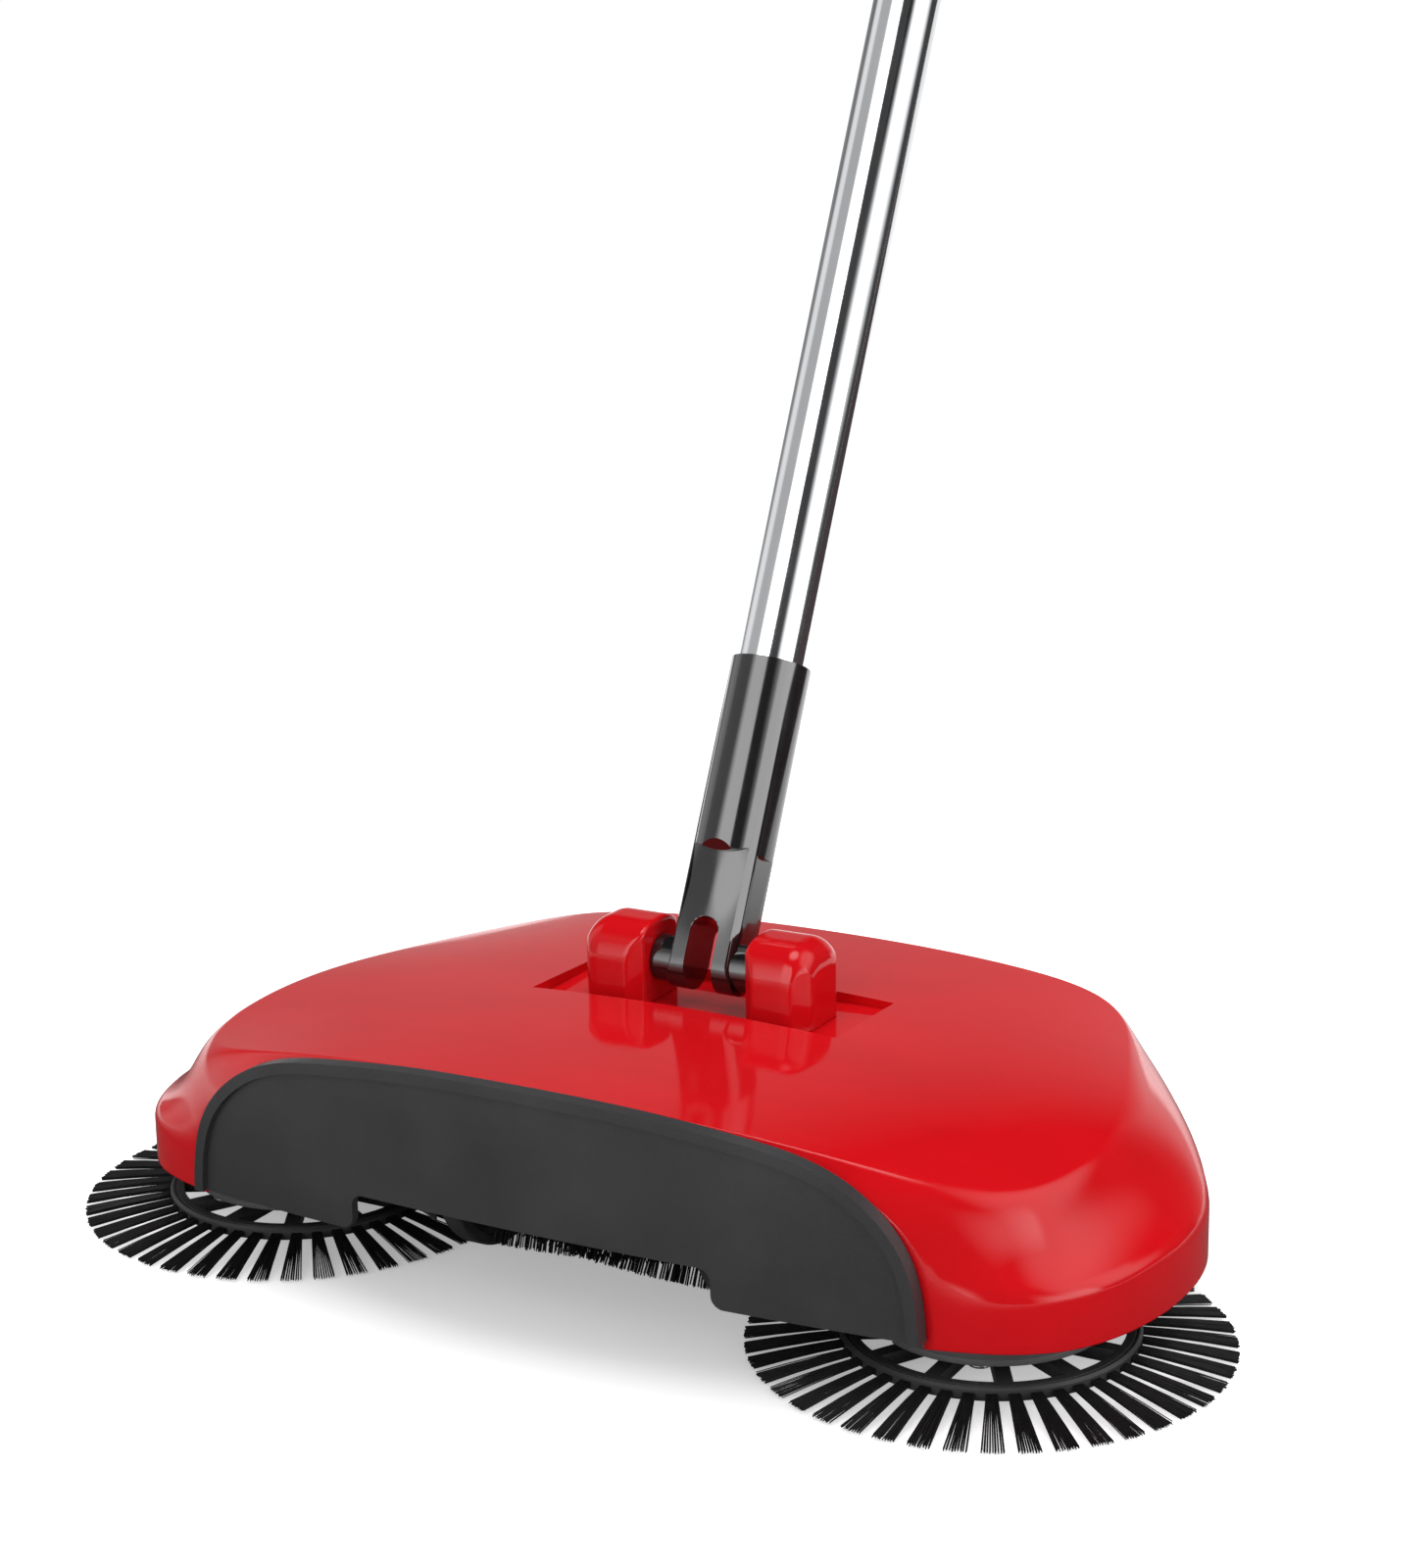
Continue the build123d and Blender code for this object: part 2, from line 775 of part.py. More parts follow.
def screw_group(name, places, head_r, head_height, shank_r, length, up):
    """Pan-head screws with a cross recess, heads seated at the given places, shanks along up."""
    cross_depth = head_height * 0.6
    cross_width = head_r * 0.25
    with BuildPart() as screws:
        with Locations(*places):
            Cylinder(
                head_r,
                head_height,
                align=(Align.CENTER, Align.CENTER, Align.MAX if up > 0 else Align.MIN),
            )
            Cylinder(
                shank_r,
                length,
                align=(Align.CENTER, Align.CENTER, Align.MIN if up > 0 else Align.MAX),
            )
        rims = screws.edges().filter_by(GeomType.CIRCLE).filter_by(lambda edge: edge.radius > shank_r + 0.1)
        rims = rims.group_by(Axis.Z)[0 if up > 0 else -1]
        fillet(rims, head_height * 0.5)
        for x, y, z in places:
            with Locations((x, y, z - up * head_height)):
                for turn in (0, 90):
                    Box(
                        head_r * 1.1,
                        cross_width,
                        2 * cross_depth,
                        rotation=(0, 0, turn),
                        mode=Mode.SUBTRACT,
                    )
    save(screws, name)


screw_group(
    "gear_plate_screws",
    [(side * (disc_x + plate_screw_out), -plate_screw_front, plate_bottom_z) for side in (-1, 1)],
    small_head_r,
    small_head_height / 2,
    small_shank_r,
    small_screw_length,
    1,
)
screw_group(
    "shell_screws",
    [(side * shell_screw_x, shell_screw_y, base_floor_z + small_head_height) for side in (-1, 1)],
    small_head_r,
    small_head_height,
    small_shank_r,
    2 * small_screw_length,
    1,
)
screw_group(
    "strip_screws",
    [(side * strip_screw_x, strip_mid_y, strip_bottom_z) for side in (-1, 1)],
    small_head_r,
    small_head_height,
    small_shank_r,
    small_screw_length / 1.5,
    1,
)
screw_group(
    "boss_screws",
    [
        (side * boss_mid_x, pivot_y + step, recess_floor_z - recess_pad)
        for side in (-1, 1)
        for step in (-boss_screw_half, boss_screw_half)
    ],
    small_head_r,
    small_head_height,
    small_shank_r,
    small_screw_length,
    1,
)

# Ramp that lifts the dirt, and the strip that clamps it
with BuildPart() as dirt_ramp:
    with Locations((0, (well_rear_y + strip_rear_y) / 2, strip_top_z)):
        Box(
            2 * ramp_flange_half,
            strip_rear_y - well_rear_y,
            ramp_thickness,
            align=(Align.CENTER, Align.CENTER, Align.MIN),
        )
    with BuildSketch(Plane.YZ):
        with BuildLine():
            Polyline(
                (well_rear_y, strip_top_z),
                (ramp_front_y, ramp_front_z),
                (ramp_front_y, ramp_front_z + ramp_thickness),
                (well_rear_y, base_floor_z),
                (well_rear_y, strip_top_z),
            )
        make_face()
    extrude(amount=ramp_half_width, both=True)
    with Locations(*[(side * strip_screw_x, strip_mid_y, strip_top_z) for side in (-1, 1)]):
        Cylinder(small_shank_r + running_fit, 4 * ramp_thickness, mode=Mode.SUBTRACT)
save(dirt_ramp, "dirt_ramp")

with BuildPart() as ramp_strip:
    with Locations((0, strip_mid_y, strip_bottom_z)):
        Box(
            2 * strip_half_width,
            strip_rear_y - strip_front_y,
            strip_thickness,
            align=(Align.CENTER, Align.CENTER, Align.MIN),
        )
    fillet(ramp_strip.edges().filter_by(Axis.Z), strip_thickness)
    with Locations(*[(side * strip_screw_x, strip_mid_y, strip_bottom_z) for side in (-1, 1)]):
        Cylinder(small_shank_r + running_fit, 4 * strip_thickness, mode=Mode.SUBTRACT)
save(ramp_strip, "ramp_strip")

# Bushes of the axle and of the disc spindles
with BuildPart() as axle_bushes:
    for side in (-1, 1):
        with BuildSketch(axle_plane.offset(side * bearing_x)):
            Circle(bush_r)
            Circle(axle_r + running_fit, mode=Mode.SUBTRACT)
        extrude(amount=side * bearing_width)
save(axle_bushes, "axle_bushes")

with BuildPart() as spindle_bushes:
    with BuildSketch(Plane.XY.offset(plate_bottom_z - part_gap)):
        with Locations((-disc_x, 0), (disc_x, 0)):
            Circle(bush_r)
            Circle(spindle_r + running_fit, mode=Mode.SUBTRACT)
    extrude(amount=gear_back_z - plate_bottom_z)
save(spindle_bushes, "spindle_bushes")

# Axle with its retaining rings
with BuildPart() as axle_shaft:
    with BuildSketch(axle_plane):
        Circle(axle_r)
    extrude(amount=axle_half_length, both=True)
    chamfer(axle_shaft.edges().filter_by(GeomType.CIRCLE), axle_r / 8)
save(axle_shaft, "axle_shaft")

# Drive wheels and tyres
wheel_mid_r = (hub_r + tyre_r - tyre_depth) / 2
for name, side in sides:
    with BuildPart() as drive_wheel:
        with BuildSketch(axle_plane.offset(side * wheel_inner_x)):
            Circle(tyre_r - tyre_depth)
            Circle(axle_r + seat_gap, mode=Mode.SUBTRACT)
            with PolarLocations(wheel_mid_r, wheel_hole_count):
                Circle((tyre_r - tyre_depth - hub_r) / 3, mode=Mode.SUBTRACT)
        extrude(amount=side * wheel_width)
    save(drive_wheel, f"drive_wheel_{name}")
    with BuildPart() as tyre:
        with BuildSketch(axle_plane.offset(side * wheel_inner_x)):
            Circle(tyre_r)
            Circle(tyre_r - tyre_depth + seat_gap, mode=Mode.SUBTRACT)
        extrude(amount=side * wheel_width)
        fillet(tyre.edges().filter_by(GeomType.CIRCLE).group_by(SortBy.RADIUS)[-1], tyre_depth / 4)
    save(tyre, f"tyre_{name}")

# Roller brush: core, and strands fused to the thin sleeve that backs them
with BuildPart() as roller_core:
    with BuildSketch(axle_plane):
        Circle(roller_core_r)
        Circle(axle_r + seat_gap, mode=Mode.SUBTRACT)
    extrude(amount=roller_half_length, both=True)
save(roller_core, "roller_core")

roller_tip_r = axle_z - floor_clearance
backing_mid_r = roller_core_r + roller_backing / 2
tuft_pitch = 2 * roller_half_length / roller_tufts
strand_places = []
for row in range(roller_rows):
    for tuft in range(roller_tufts):
        along = -roller_half_length + (tuft + 0.5) * tuft_pitch
        turn = 360 * row / roller_rows + roller_twist * along / roller_half_length
        for step in (-1, 1):
            strand_places.append(
                Location((along + step * tuft_pitch / 5, 0, axle_z), (turn, 0, 0))
                * Location((0, 0, backing_mid_r), (0, step * 3, 0))
            )
with BuildPart() as roller_bristles:
    with BuildSketch(axle_plane):
        Circle(roller_core_r + roller_backing)
        Circle(roller_core_r + seat_gap, mode=Mode.SUBTRACT)
    extrude(amount=roller_half_length, both=True)
    with Locations(*strand_places):
        Box(
            roller_strand,
            roller_strand,
            roller_tip_r - backing_mid_r,
            align=(Align.CENTER, Align.CENTER, Align.MIN),
        )
save(roller_bristles, "roller_bristles")

# Bevel pinions and gears. A tooth is lofted from its big end to a smaller copy nearer the apex.
cone_length = hypot(apex_gear, apex_pinion)
cone_up = apex_pinion / cone_length


def bevel_tooth(radius, depth):
    """One tooth pointing along local +X, of a gear whose axis is local Z and whose apex is the origin.

    The big end is at the given pitch radius, the given depth below the apex.
    """
    length = hypot(radius, depth)
    sunk = tooth_dedendum + tooth_addendum / 2
    with BuildPart() as tooth:
        for scale_by in (1, tooth_small_end):
            centre = (radius * scale_by, 0, -depth * scale_by)
            tooth_plane = Plane(
                origin=centre,
                x_dir=(0, 1, 0),
                z_dir=(radius / length, 0, -depth / length),
            )
            up = 1 if tooth_plane.y_dir.Z > 0 else -1
            tip = up * tooth_addendum * scale_by
            root = -up * sunk * scale_by
            half_tip = tooth_tip_thickness / 2 * scale_by
            half_root = (tooth_thickness - tooth_tip_thickness / 2) * scale_by
            with BuildSketch(tooth_plane):
                with BuildLine():
                    Polyline((-half_root, root), (half_root, root), (half_tip, tip), (-half_tip, tip), close=True)
                make_face()
        loft(ruled=True)
    return tooth


def bevel_blank(radius, depth, bore, back_depth, hub):
    """Body of a bevel gear below its root cone, in the same local frame as its teeth."""
    length = hypot(radius, depth)
    root_r = radius - tooth_dedendum * depth / length
    root_z = -depth - tooth_dedendum * radius / length
    with BuildPart() as blank:
        with BuildSketch(Plane.XZ):
            with BuildLine():
                Polyline(
                    (bore, -back_depth),
                    (hub, -back_depth),
                    (hub, root_z),
                    (root_r, root_z),
                    (root_r * tooth_small_end, root_z * tooth_small_end),
                    (bore, root_z * tooth_small_end),
                    close=True,
                )
            make_face()
        revolve(axis=Axis.Z)
    return blank


def bevel_gear(radius, depth, teeth, bore, back_depth, hub, first_angle):
    tooth = bevel_tooth(radius, depth)
    blank = bevel_blank(radius, depth, bore, back_depth, hub)
    with BuildPart() as gear:
        add(blank.part)
        with PolarLocations(0, teeth, start_angle=first_angle):
            add(tooth.part)
    return gear


gear_blank_hub = apex_gear + tooth_addendum
gear_shape = bevel_gear(
    apex_gear,
    apex_pinion,
    gear_teeth,
    spindle_r + seat_gap,
    axle_z - gear_back_z,
    gear_blank_hub,
    180 / gear_teeth,
)
pinion_shape = bevel_gear(
    apex_pinion,
    apex_gear,
    pinion_teeth,
    axle_r + seat_gap,
    apex_gear + pinion_hub_length,
    pinion_hub_r,
    0,
)
for name, side in sides:
    gear_frame = Plane(origin=(side * disc_x, 0, axle_z), x_dir=(-side, 0, 0), z_dir=(0, 0, 1))
    with BuildPart() as disc_gear:
        add(gear_frame.location * gear_shape.part)
    save(disc_gear, f"disc_gear_{name}")
    pinion_frame = Plane(origin=(side * disc_x, 0, axle_z), x_dir=(0, 0, -1), z_dir=(side, 0, 0))
    with BuildPart() as pinion:
        add(pinion_frame.location * pinion_shape.part)
    save(pinion, f"pinion_{name}")

small_end_x = disc_x - tooth_small_end * (apex_gear + tooth_dedendum * cone_up)
with BuildPart() as axle_rings:
    for side in (-1, 1):
        with BuildSketch(axle_plane.offset(side * (small_end_x + seat_gap))):
            Circle(ring_r)
            Circle(axle_r + seat_gap, mode=Mode.SUBTRACT)
        extrude(amount=side * ring_width)
save(axle_rings, "axle_rings")

# Disc brushes
slice_inner_r = ring_outer_r - bristle_backing
strand_start_r = slice_inner_r + bristle_backing / 2
strand_drop = bristle_root_z - floor_clearance - strand_thickness / 2
strand_run = disc_tip_r - strand_start_r
strand_tilt = degrees(atan2(strand_drop, strand_run))
strand_length = hypot(strand_drop, strand_run) - strand_thickness / 4
tuft_spread = degrees(atan2(tuft_tip_width - tuft_root_width, 2 * strand_run))
for name, side in sides:
    with BuildPart() as brush_wheel:
        with BuildSketch(Plane.XY.offset(wheel_bottom_z)):
            with Locations((side * disc_x, 0)):
                Circle(slice_inner_r)
                Circle(ring_inner_r, mode=Mode.SUBTRACT)
                with PolarLocations((ring_inner_r + disc_boss_r) / 2, spoke_count):
                    Rectangle(ring_inner_r - disc_boss_r + 2, spoke_width)
        extrude(amount=wheel_top_z - wheel_bottom_z)
        with BuildSketch(Plane.XY.offset(disc_boss_bottom_z)):
            with Locations((side * disc_x, 0)):
                Circle(disc_boss_r)
        extrude(amount=disc_boss_top_z - disc_boss_bottom_z)
        with Locations((side * disc_x, 0, disc_boss_bottom_z)):
            Cylinder(
                screw_head_r + part_gap,
                screw_head_height,
                align=(Align.CENTER, Align.CENTER, Align.MIN),
                mode=Mode.SUBTRACT,
            )
            Cylinder(screw_shank_r + running_fit, 4 * screw_length, mode=Mode.SUBTRACT)
        with Locations((side * disc_x, 0, disc_boss_bottom_z + 2 * screw_head_height)):
            Cylinder(
                spindle_r + seat_gap,
                screw_length,
                align=(Align.CENTER, Align.CENTER, Align.MIN),
                mode=Mode.SUBTRACT,
            )
    save(brush_wheel, f"brush_wheel_{name}")

    strand_places = []
    for tuft in range(tuft_count):
        for strand in range(tuft_strands):
            share = strand / (tuft_strands - 1) - 0.5
            strand_places.append(
                Location((side * disc_x, 0, bristle_root_z), (0, 0, 360 * tuft / tuft_count))
                * Location((strand_start_r, share * tuft_root_width, 0), (0, 0, 2 * share * tuft_spread))
                * Location((0, 0, 0), (0, strand_tilt, 0))
            )
    with BuildPart() as brush_bristles:
        with BuildSketch(Plane.XY.offset(wheel_bottom_z)):
            with Locations((side * disc_x, 0)):
                Circle(ring_outer_r)
                Circle(slice_inner_r + seat_gap, mode=Mode.SUBTRACT)
        extrude(amount=wheel_top_z - wheel_bottom_z)
        with Locations(*strand_places):
            Box(
                strand_length,
                strand_thickness,
                strand_thickness,
                align=(Align.MIN, Align.CENTER, Align.CENTER),
            )
    save(brush_bristles, f"brush_bristles_{name}")

    spindle_bottom_z = disc_boss_bottom_z + 2 * screw_head_height
    spindle_top_z = axle_z - axle_r - spindle_top_gap
    with BuildPart() as spindle:
        with Locations((side * disc_x, 0, spindle_bottom_z)):
            Cylinder(
                spindle_r,
                spindle_top_z - spindle_bottom_z,
                align=(Align.CENTER, Align.CENTER, Align.MIN),
            )
            Cylinder(
                screw_shank_r + seat_gap,
                2 * screw_length,
                mode=Mode.SUBTRACT,
            )
    save(spindle, f"spindle_{name}")
    screw_group(
        f"brush_screw_{name}",
        [(side * disc_x, 0, disc_boss_bottom_z + screw_head_height)],
        screw_head_r,
        screw_head_height,
        screw_shank_r,
        screw_length,
        1,
    )

# Dust tray with its hinge barrel, walls and pull tab
with BuildPart() as dust_tray:
    with BuildSketch(Plane.XY.offset(base_floor_z)):
        with Locations((0, tray_hinge_y)):
            Rectangle(
                2 * (tray_ear_half - part_gap),
                tray_ear_rear_y - tray_hinge_y - part_gap,
                align=(Align.CENTER, Align.MIN),
            )
        with BuildSketch(mode=Mode.PRIVATE) as rear_part:
            add(outline(skirt_points(0), skirt_rear_y))
            make_face()
            with Locations((0, tray_hinge_y)):
                Rectangle(
                    2 * (tray_half_width - part_gap),
                    skirt_rear_y,
                    align=(Align.CENTER, Align.MIN),
                    mode=Mode.INTERSECT,
                )
        add(rear_part.sketch)
        with Locations((0, skirt_rear_y + tray_tab_reach)):
            Rectangle(2 * tray_tab_half, skirt_rear_y - rear_wheel_y, align=(Align.CENTER, Align.MAX))
    extrude(amount=tray_floor)
    with BuildSketch(Plane.XY.offset(base_floor_z)):
        add(rear_part.sketch)
        with BuildSketch(mode=Mode.PRIVATE) as rear_inside:
            add(outline(skirt_points(tray_wall), skirt_rear_y - tray_wall))
            make_face()
            with Locations((0, 0)):
                Rectangle(
                    2 * (tray_half_width - part_gap - tray_wall),
                    4 * skirt_rear_y,
                    mode=Mode.INTERSECT,
                )
        add(rear_inside.sketch, mode=Mode.SUBTRACT)
        with Locations((0, tray_side_front_y)):
            Rectangle(
                4 * tray_half_width,
                tray_side_front_y,
                align=(Align.CENTER, Align.MAX),
                mode=Mode.SUBTRACT,
            )
    extrude(amount=tray_wall_top_z - base_floor_z)
    with Locations((0, skirt_rear_y + tray_tab_reach, base_floor_z)):
        Box(
            2 * tray_tab_half,
            tray_tab_reach + tray_wall,
            tray_tab_height,
            align=(Align.CENTER, Align.MAX, Align.MIN),
        )
    with BuildSketch(Plane(origin=(0, tray_hinge_y, tray_hinge_z), x_dir=(0, 1, 0), z_dir=(1, 0, 0))):
        Circle(tray_barrel_r)
    extrude(amount=tray_ear_half - part_gap, both=True)
    with BuildSketch(Plane(origin=(0, tray_hinge_y, tray_hinge_z), x_dir=(0, 1, 0), z_dir=(1, 0, 0))):
        Circle(tray_pin_r + running_fit)
    extrude(amount=tray_ear_half, both=True, mode=Mode.SUBTRACT)
    with Locations((0, rear_wheel_y, 0)):
        Box(
            carrier_width + 2 * seat_gap,
            carrier_length + 2 * seat_gap,
            4 * base_floor_z,
            mode=Mode.SUBTRACT,
        )
save(dust_tray, "dust_tray")

with BuildPart() as tray_pins:
    for side in (-1, 1):
        pin_plane = Plane(
            origin=(side * (tray_ear_half + lug_thickness), tray_hinge_y, tray_hinge_z),
            x_dir=(0, 1, 0),
            z_dir=(-side, 0, 0),
        )
        with BuildSketch(pin_plane):
            Circle(tray_pin_r)
        extrude(amount=tray_pin_length)
save(tray_pins, "tray_pins")

# Rear support wheel in its carrier
carrier_bottom_z = base_floor_z - carrier_proud
carrier_top_z = 2 * rear_wheel_r + well_gap + carrier_roof
with BuildPart() as wheel_carrier:
    with Locations((0, rear_wheel_y, carrier_bottom_z)):
        Box(
            carrier_width,
            carrier_length,
            carrier_top_z - carrier_bottom_z,
            align=(Align.CENTER, Align.CENTER, Align.MIN),
        )
    with BuildSketch(Plane.XY.offset(carrier_bottom_z)):
        with Locations((0, rear_wheel_y)):
            RectangleRounded(
                rear_wheel_width + 2 * well_gap,
                2 * rear_wheel_r + 2 * well_gap,
                rear_wheel_width / 3,
            )
    extrude(amount=carrier_top_z - carrier_roof - carrier_bottom_z, mode=Mode.SUBTRACT)
    with BuildSketch(Plane(origin=(0, rear_wheel_y, rear_wheel_r), x_dir=(0, 1, 0), z_dir=(1, 0, 0))):
        Circle(rear_pin_r + seat_gap)
    extrude(amount=carrier_width, both=True, mode=Mode.SUBTRACT)
save(wheel_carrier, "wheel_carrier")

rear_axis = Plane(origin=(0, rear_wheel_y, rear_wheel_r), x_dir=(0, 1, 0), z_dir=(1, 0, 0))
with BuildPart() as rear_wheel:
    with BuildSketch(rear_axis):
        Circle(rear_wheel_r)
        Circle(rear_pin_r + running_fit, mode=Mode.SUBTRACT)
    extrude(amount=rear_wheel_width / 2, both=True)
    fillet(rear_wheel.edges().filter_by(GeomType.CIRCLE).group_by(SortBy.RADIUS)[-1], well_gap)
save(rear_wheel, "rear_wheel")

with BuildPart() as rear_wheel_pin:
    with BuildSketch(rear_axis):
        Circle(rear_pin_r)
    extrude(amount=carrier_width / 2, both=True)
save(rear_wheel_pin, "rear_wheel_pin")

# Fork: a round sleeve cut square below, with a slot that leaves two legs and two hubs
with BuildPart() as handle_fork:
    with BuildSketch(handle_plane.offset(-fork_depth / 2)):
        Circle(sleeve_r)
    extrude(amount=sleeve_end + fork_depth / 2)
    face_plane = Plane(origin=handle_plane.origin, x_dir=(1, 0, 0), z_dir=-handle_plane.y_dir)
    side_plane = Plane(origin=(0, pivot_y, pivot_z), x_dir=tuple(handle_plane.y_dir), z_dir=(1, 0, 0))
    for flat_plane, flat_depth in ((face_plane, fork_depth / 2), (side_plane, fork_half_width)):
        for side in (-1, 1):
            with BuildSketch(flat_plane.offset(side * flat_depth)):
                with BuildLine():
                    ThreePointArc(
                        (-sleeve_r, fork_square_end),
                        (0, fork_square_end - fork_lobe),
                        (sleeve_r, fork_square_end),
                    )
                    Polyline(
                        (sleeve_r, fork_square_end),
                        (sleeve_r, -2 * fork_depth),
                        (-sleeve_r, -2 * fork_depth),
                        (-sleeve_r, fork_square_end),
                    )
                make_face()
            extrude(amount=side * sleeve_r, mode=Mode.SUBTRACT)
    for side in (-1, 1):
        scoop_centre = handle_plane.from_local_coords(
            (0, side * (fork_depth / 2 - fork_scoop_depth + fork_scoop_r), fork_scoop_place)
        )
        with Locations(scoop_centre):
            Sphere(fork_scoop_r, mode=Mode.SUBTRACT)
    with BuildSketch(side_plane):
        with Locations((0, -fork_depth / 2)):
            Rectangle(2 * fork_depth, fork_depth)
        Circle(fork_depth / 2, mode=Mode.SUBTRACT)
    extrude(amount=2 * sleeve_r, both=True, mode=Mode.SUBTRACT)
    with BuildSketch(face_plane):
        with Locations((0, fork_slot_top - fork_slot / 2)):
            Circle(fork_slot / 2)
            Rectangle(fork_slot, 4 * fork_depth, align=(Align.CENTER, Align.MAX))
    extrude(amount=2 * sleeve_r, both=True, mode=Mode.SUBTRACT)
    for side in (-1, 1):
        with BuildSketch(pivot_plane.offset(side * (fork_half_width - 1))):
            Circle(fork_hub_r)
        extrude(amount=side * (boss_inner_x - fork_half_width + 1 - part_gap))
        with BuildSketch(pivot_plane.offset(side * fork_slot / 2)):
            Circle(hinge_pin_r + seat_gap)
        extrude(amount=side * boss_inner_x, mode=Mode.SUBTRACT)
    with BuildSketch(handle_plane.offset(tube_start)):
        Circle(tube_r + seat_gap)
    extrude(amount=sleeve_end, mode=Mode.SUBTRACT)
    fillet(handle_fork.edges().filter_by(GeomType.CIRCLE).sort_by(Axis.Z)[-1], (sleeve_r - tube_r) / 3)
save(handle_fork, "handle_fork")

pin_length = boss_inner_x + hinge_pin_depth - part_gap - fork_slot / 2
with BuildPart() as hinge_pins:
    for side in (-1, 1):
        with BuildSketch(pivot_plane.offset(side * fork_slot / 2)):
            Circle(hinge_pin_r)
        extrude(amount=side * pin_length)
save(hinge_pins, "hinge_pins")

# Tubes of the pole, joined by couplers
tube_joint_low = tube_start + tube_lower_length
tube_joint_high = tube_joint_low + coupler_collar + tube_middle_length
tube_end = tube_joint_high + coupler_collar + tube_upper_length
tube_spans = (
    ("tube_lower", tube_start + seat_gap, tube_joint_low),
    ("tube_middle", tube_joint_low + coupler_collar, tube_joint_high),
    ("tube_upper", tube_joint_high + coupler_collar, tube_end),
)
for name, start, end in tube_spans:
    with BuildPart() as tube:
        with BuildSketch(handle_plane.offset(start)):
            Circle(tube_r)
            Circle(tube_r - tube_wall, mode=Mode.SUBTRACT)
        extrude(amount=end - start)
    save(tube, name)

plug_r = tube_r - tube_wall - seat_gap
for name, joint in (("coupler_lower", tube_joint_low), ("coupler_upper", tube_joint_high)):
    with BuildPart() as coupler:
        with BuildSketch(handle_plane.offset(joint - coupler_plug)):
            Circle(plug_r)
            Circle(plug_r - coupler_wall, mode=Mode.SUBTRACT)
        extrude(amount=2 * coupler_plug + coupler_collar)
        with BuildSketch(handle_plane.offset(joint)):
            Circle(coupler_collar_r)
            Circle(plug_r - coupler_wall, mode=Mode.SUBTRACT)
        extrude(amount=coupler_collar)
    save(coupler, name)

# Grip with a hanging hole
grip_start = tube_end - grip_overlap
grip_end = grip_start + grip_length
handle_axis = Axis(handle_plane.origin, handle_plane.z_dir)
with BuildPart() as grip:
    with BuildSketch(face_plane):
        with BuildLine():
            Line((0, grip_start), (grip_waist_r, grip_start))
            Spline(
                (grip_waist_r, grip_start),
                (grip_r, grip_start + grip_length * 0.3),
                (grip_waist_r, grip_start + grip_length * 0.65),
                (grip_r, grip_end - grip_r),
            )
            ThreePointArc(
                (grip_r, grip_end - grip_r),
                (grip_r * sin(pi / 4), grip_end - grip_r + grip_r * cos(pi / 4)),
                (0, grip_end),
            )
            Line((0, grip_end), (0, grip_start))
        make_face()
    revolve(axis=handle_axis)
    with BuildSketch(handle_plane.offset(tube_end + seat_gap)):
        Rectangle(4 * grip_r, 4 * grip_r)
        Rectangle(grip_flat, 4 * grip_r, mode=Mode.SUBTRACT)
    extrude(amount=grip_length, mode=Mode.SUBTRACT)
    with BuildSketch(handle_plane.offset(grip_start)):
        Circle(tube_r + seat_gap)
    extrude(amount=grip_overlap + seat_gap, mode=Mode.SUBTRACT)
    hole_centre = handle_plane.from_local_coords((0, 0, grip_end - hang_hole_inset))
    with BuildSketch(Plane(origin=hole_centre, x_dir=(0, 1, 0), z_dir=(1, 0, 0))):
        Circle(hang_hole_r)
    extrude(amount=2 * grip_r, both=True, mode=Mode.SUBTRACT)
save(grip, "grip")
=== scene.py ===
import json
import math
import random

import bmesh
import bpy
import numpy as np
from mathutils import Matrix, Vector


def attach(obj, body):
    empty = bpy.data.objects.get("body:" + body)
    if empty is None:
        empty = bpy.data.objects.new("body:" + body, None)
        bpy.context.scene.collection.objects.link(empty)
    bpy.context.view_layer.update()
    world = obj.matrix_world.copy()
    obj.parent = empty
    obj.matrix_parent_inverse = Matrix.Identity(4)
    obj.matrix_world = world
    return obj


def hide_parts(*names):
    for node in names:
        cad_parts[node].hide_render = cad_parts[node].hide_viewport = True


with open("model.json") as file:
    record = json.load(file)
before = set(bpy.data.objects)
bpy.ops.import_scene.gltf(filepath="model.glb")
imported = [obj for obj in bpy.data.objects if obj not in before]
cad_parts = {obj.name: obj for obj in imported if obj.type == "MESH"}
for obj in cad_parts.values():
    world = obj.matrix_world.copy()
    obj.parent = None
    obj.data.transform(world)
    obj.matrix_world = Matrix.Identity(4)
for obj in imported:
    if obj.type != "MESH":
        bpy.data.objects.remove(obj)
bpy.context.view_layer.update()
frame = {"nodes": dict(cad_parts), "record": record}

# Lengths are in millimetres and angles in degrees, unless a comment says otherwise
MM = 0.001
SEED = 11
SIDES = (("right", 1), ("left", -1))

# Camera, fitted to the photograph
CAMERA_PLACE = (436.7, -719.37, 368.37)
CAMERA_AZIMUTH = 29.29
CAMERA_ELEVATION = 14.49
CAMERA_ROLL = -0.89
CAMERA_FOCAL_PIXELS = 3021.71
CAMERA_NEAR = 10.0
PHOTO_HEIGHT = 1600
SENSOR = 36.0

# Angles past which shading turns sharp: on crisp mouldings, on the shell and on round pieces
CRISP_ANGLE = 35.0
SHELL_ANGLE = 50.0
ROUND_ANGLE = 60.0

# Softened edges of the solids' own meshes
EDGE_WIDTH = 0.35
SMALL_EDGE_WIDTH = 0.15
SMALL_NODES = ("screw", "ring", "bush", "pin")
EDGE_SEGMENTS = 2
EDGE_ANGLE = 35.0
EVEN_WEIGHT = 60
WELD = 0.002

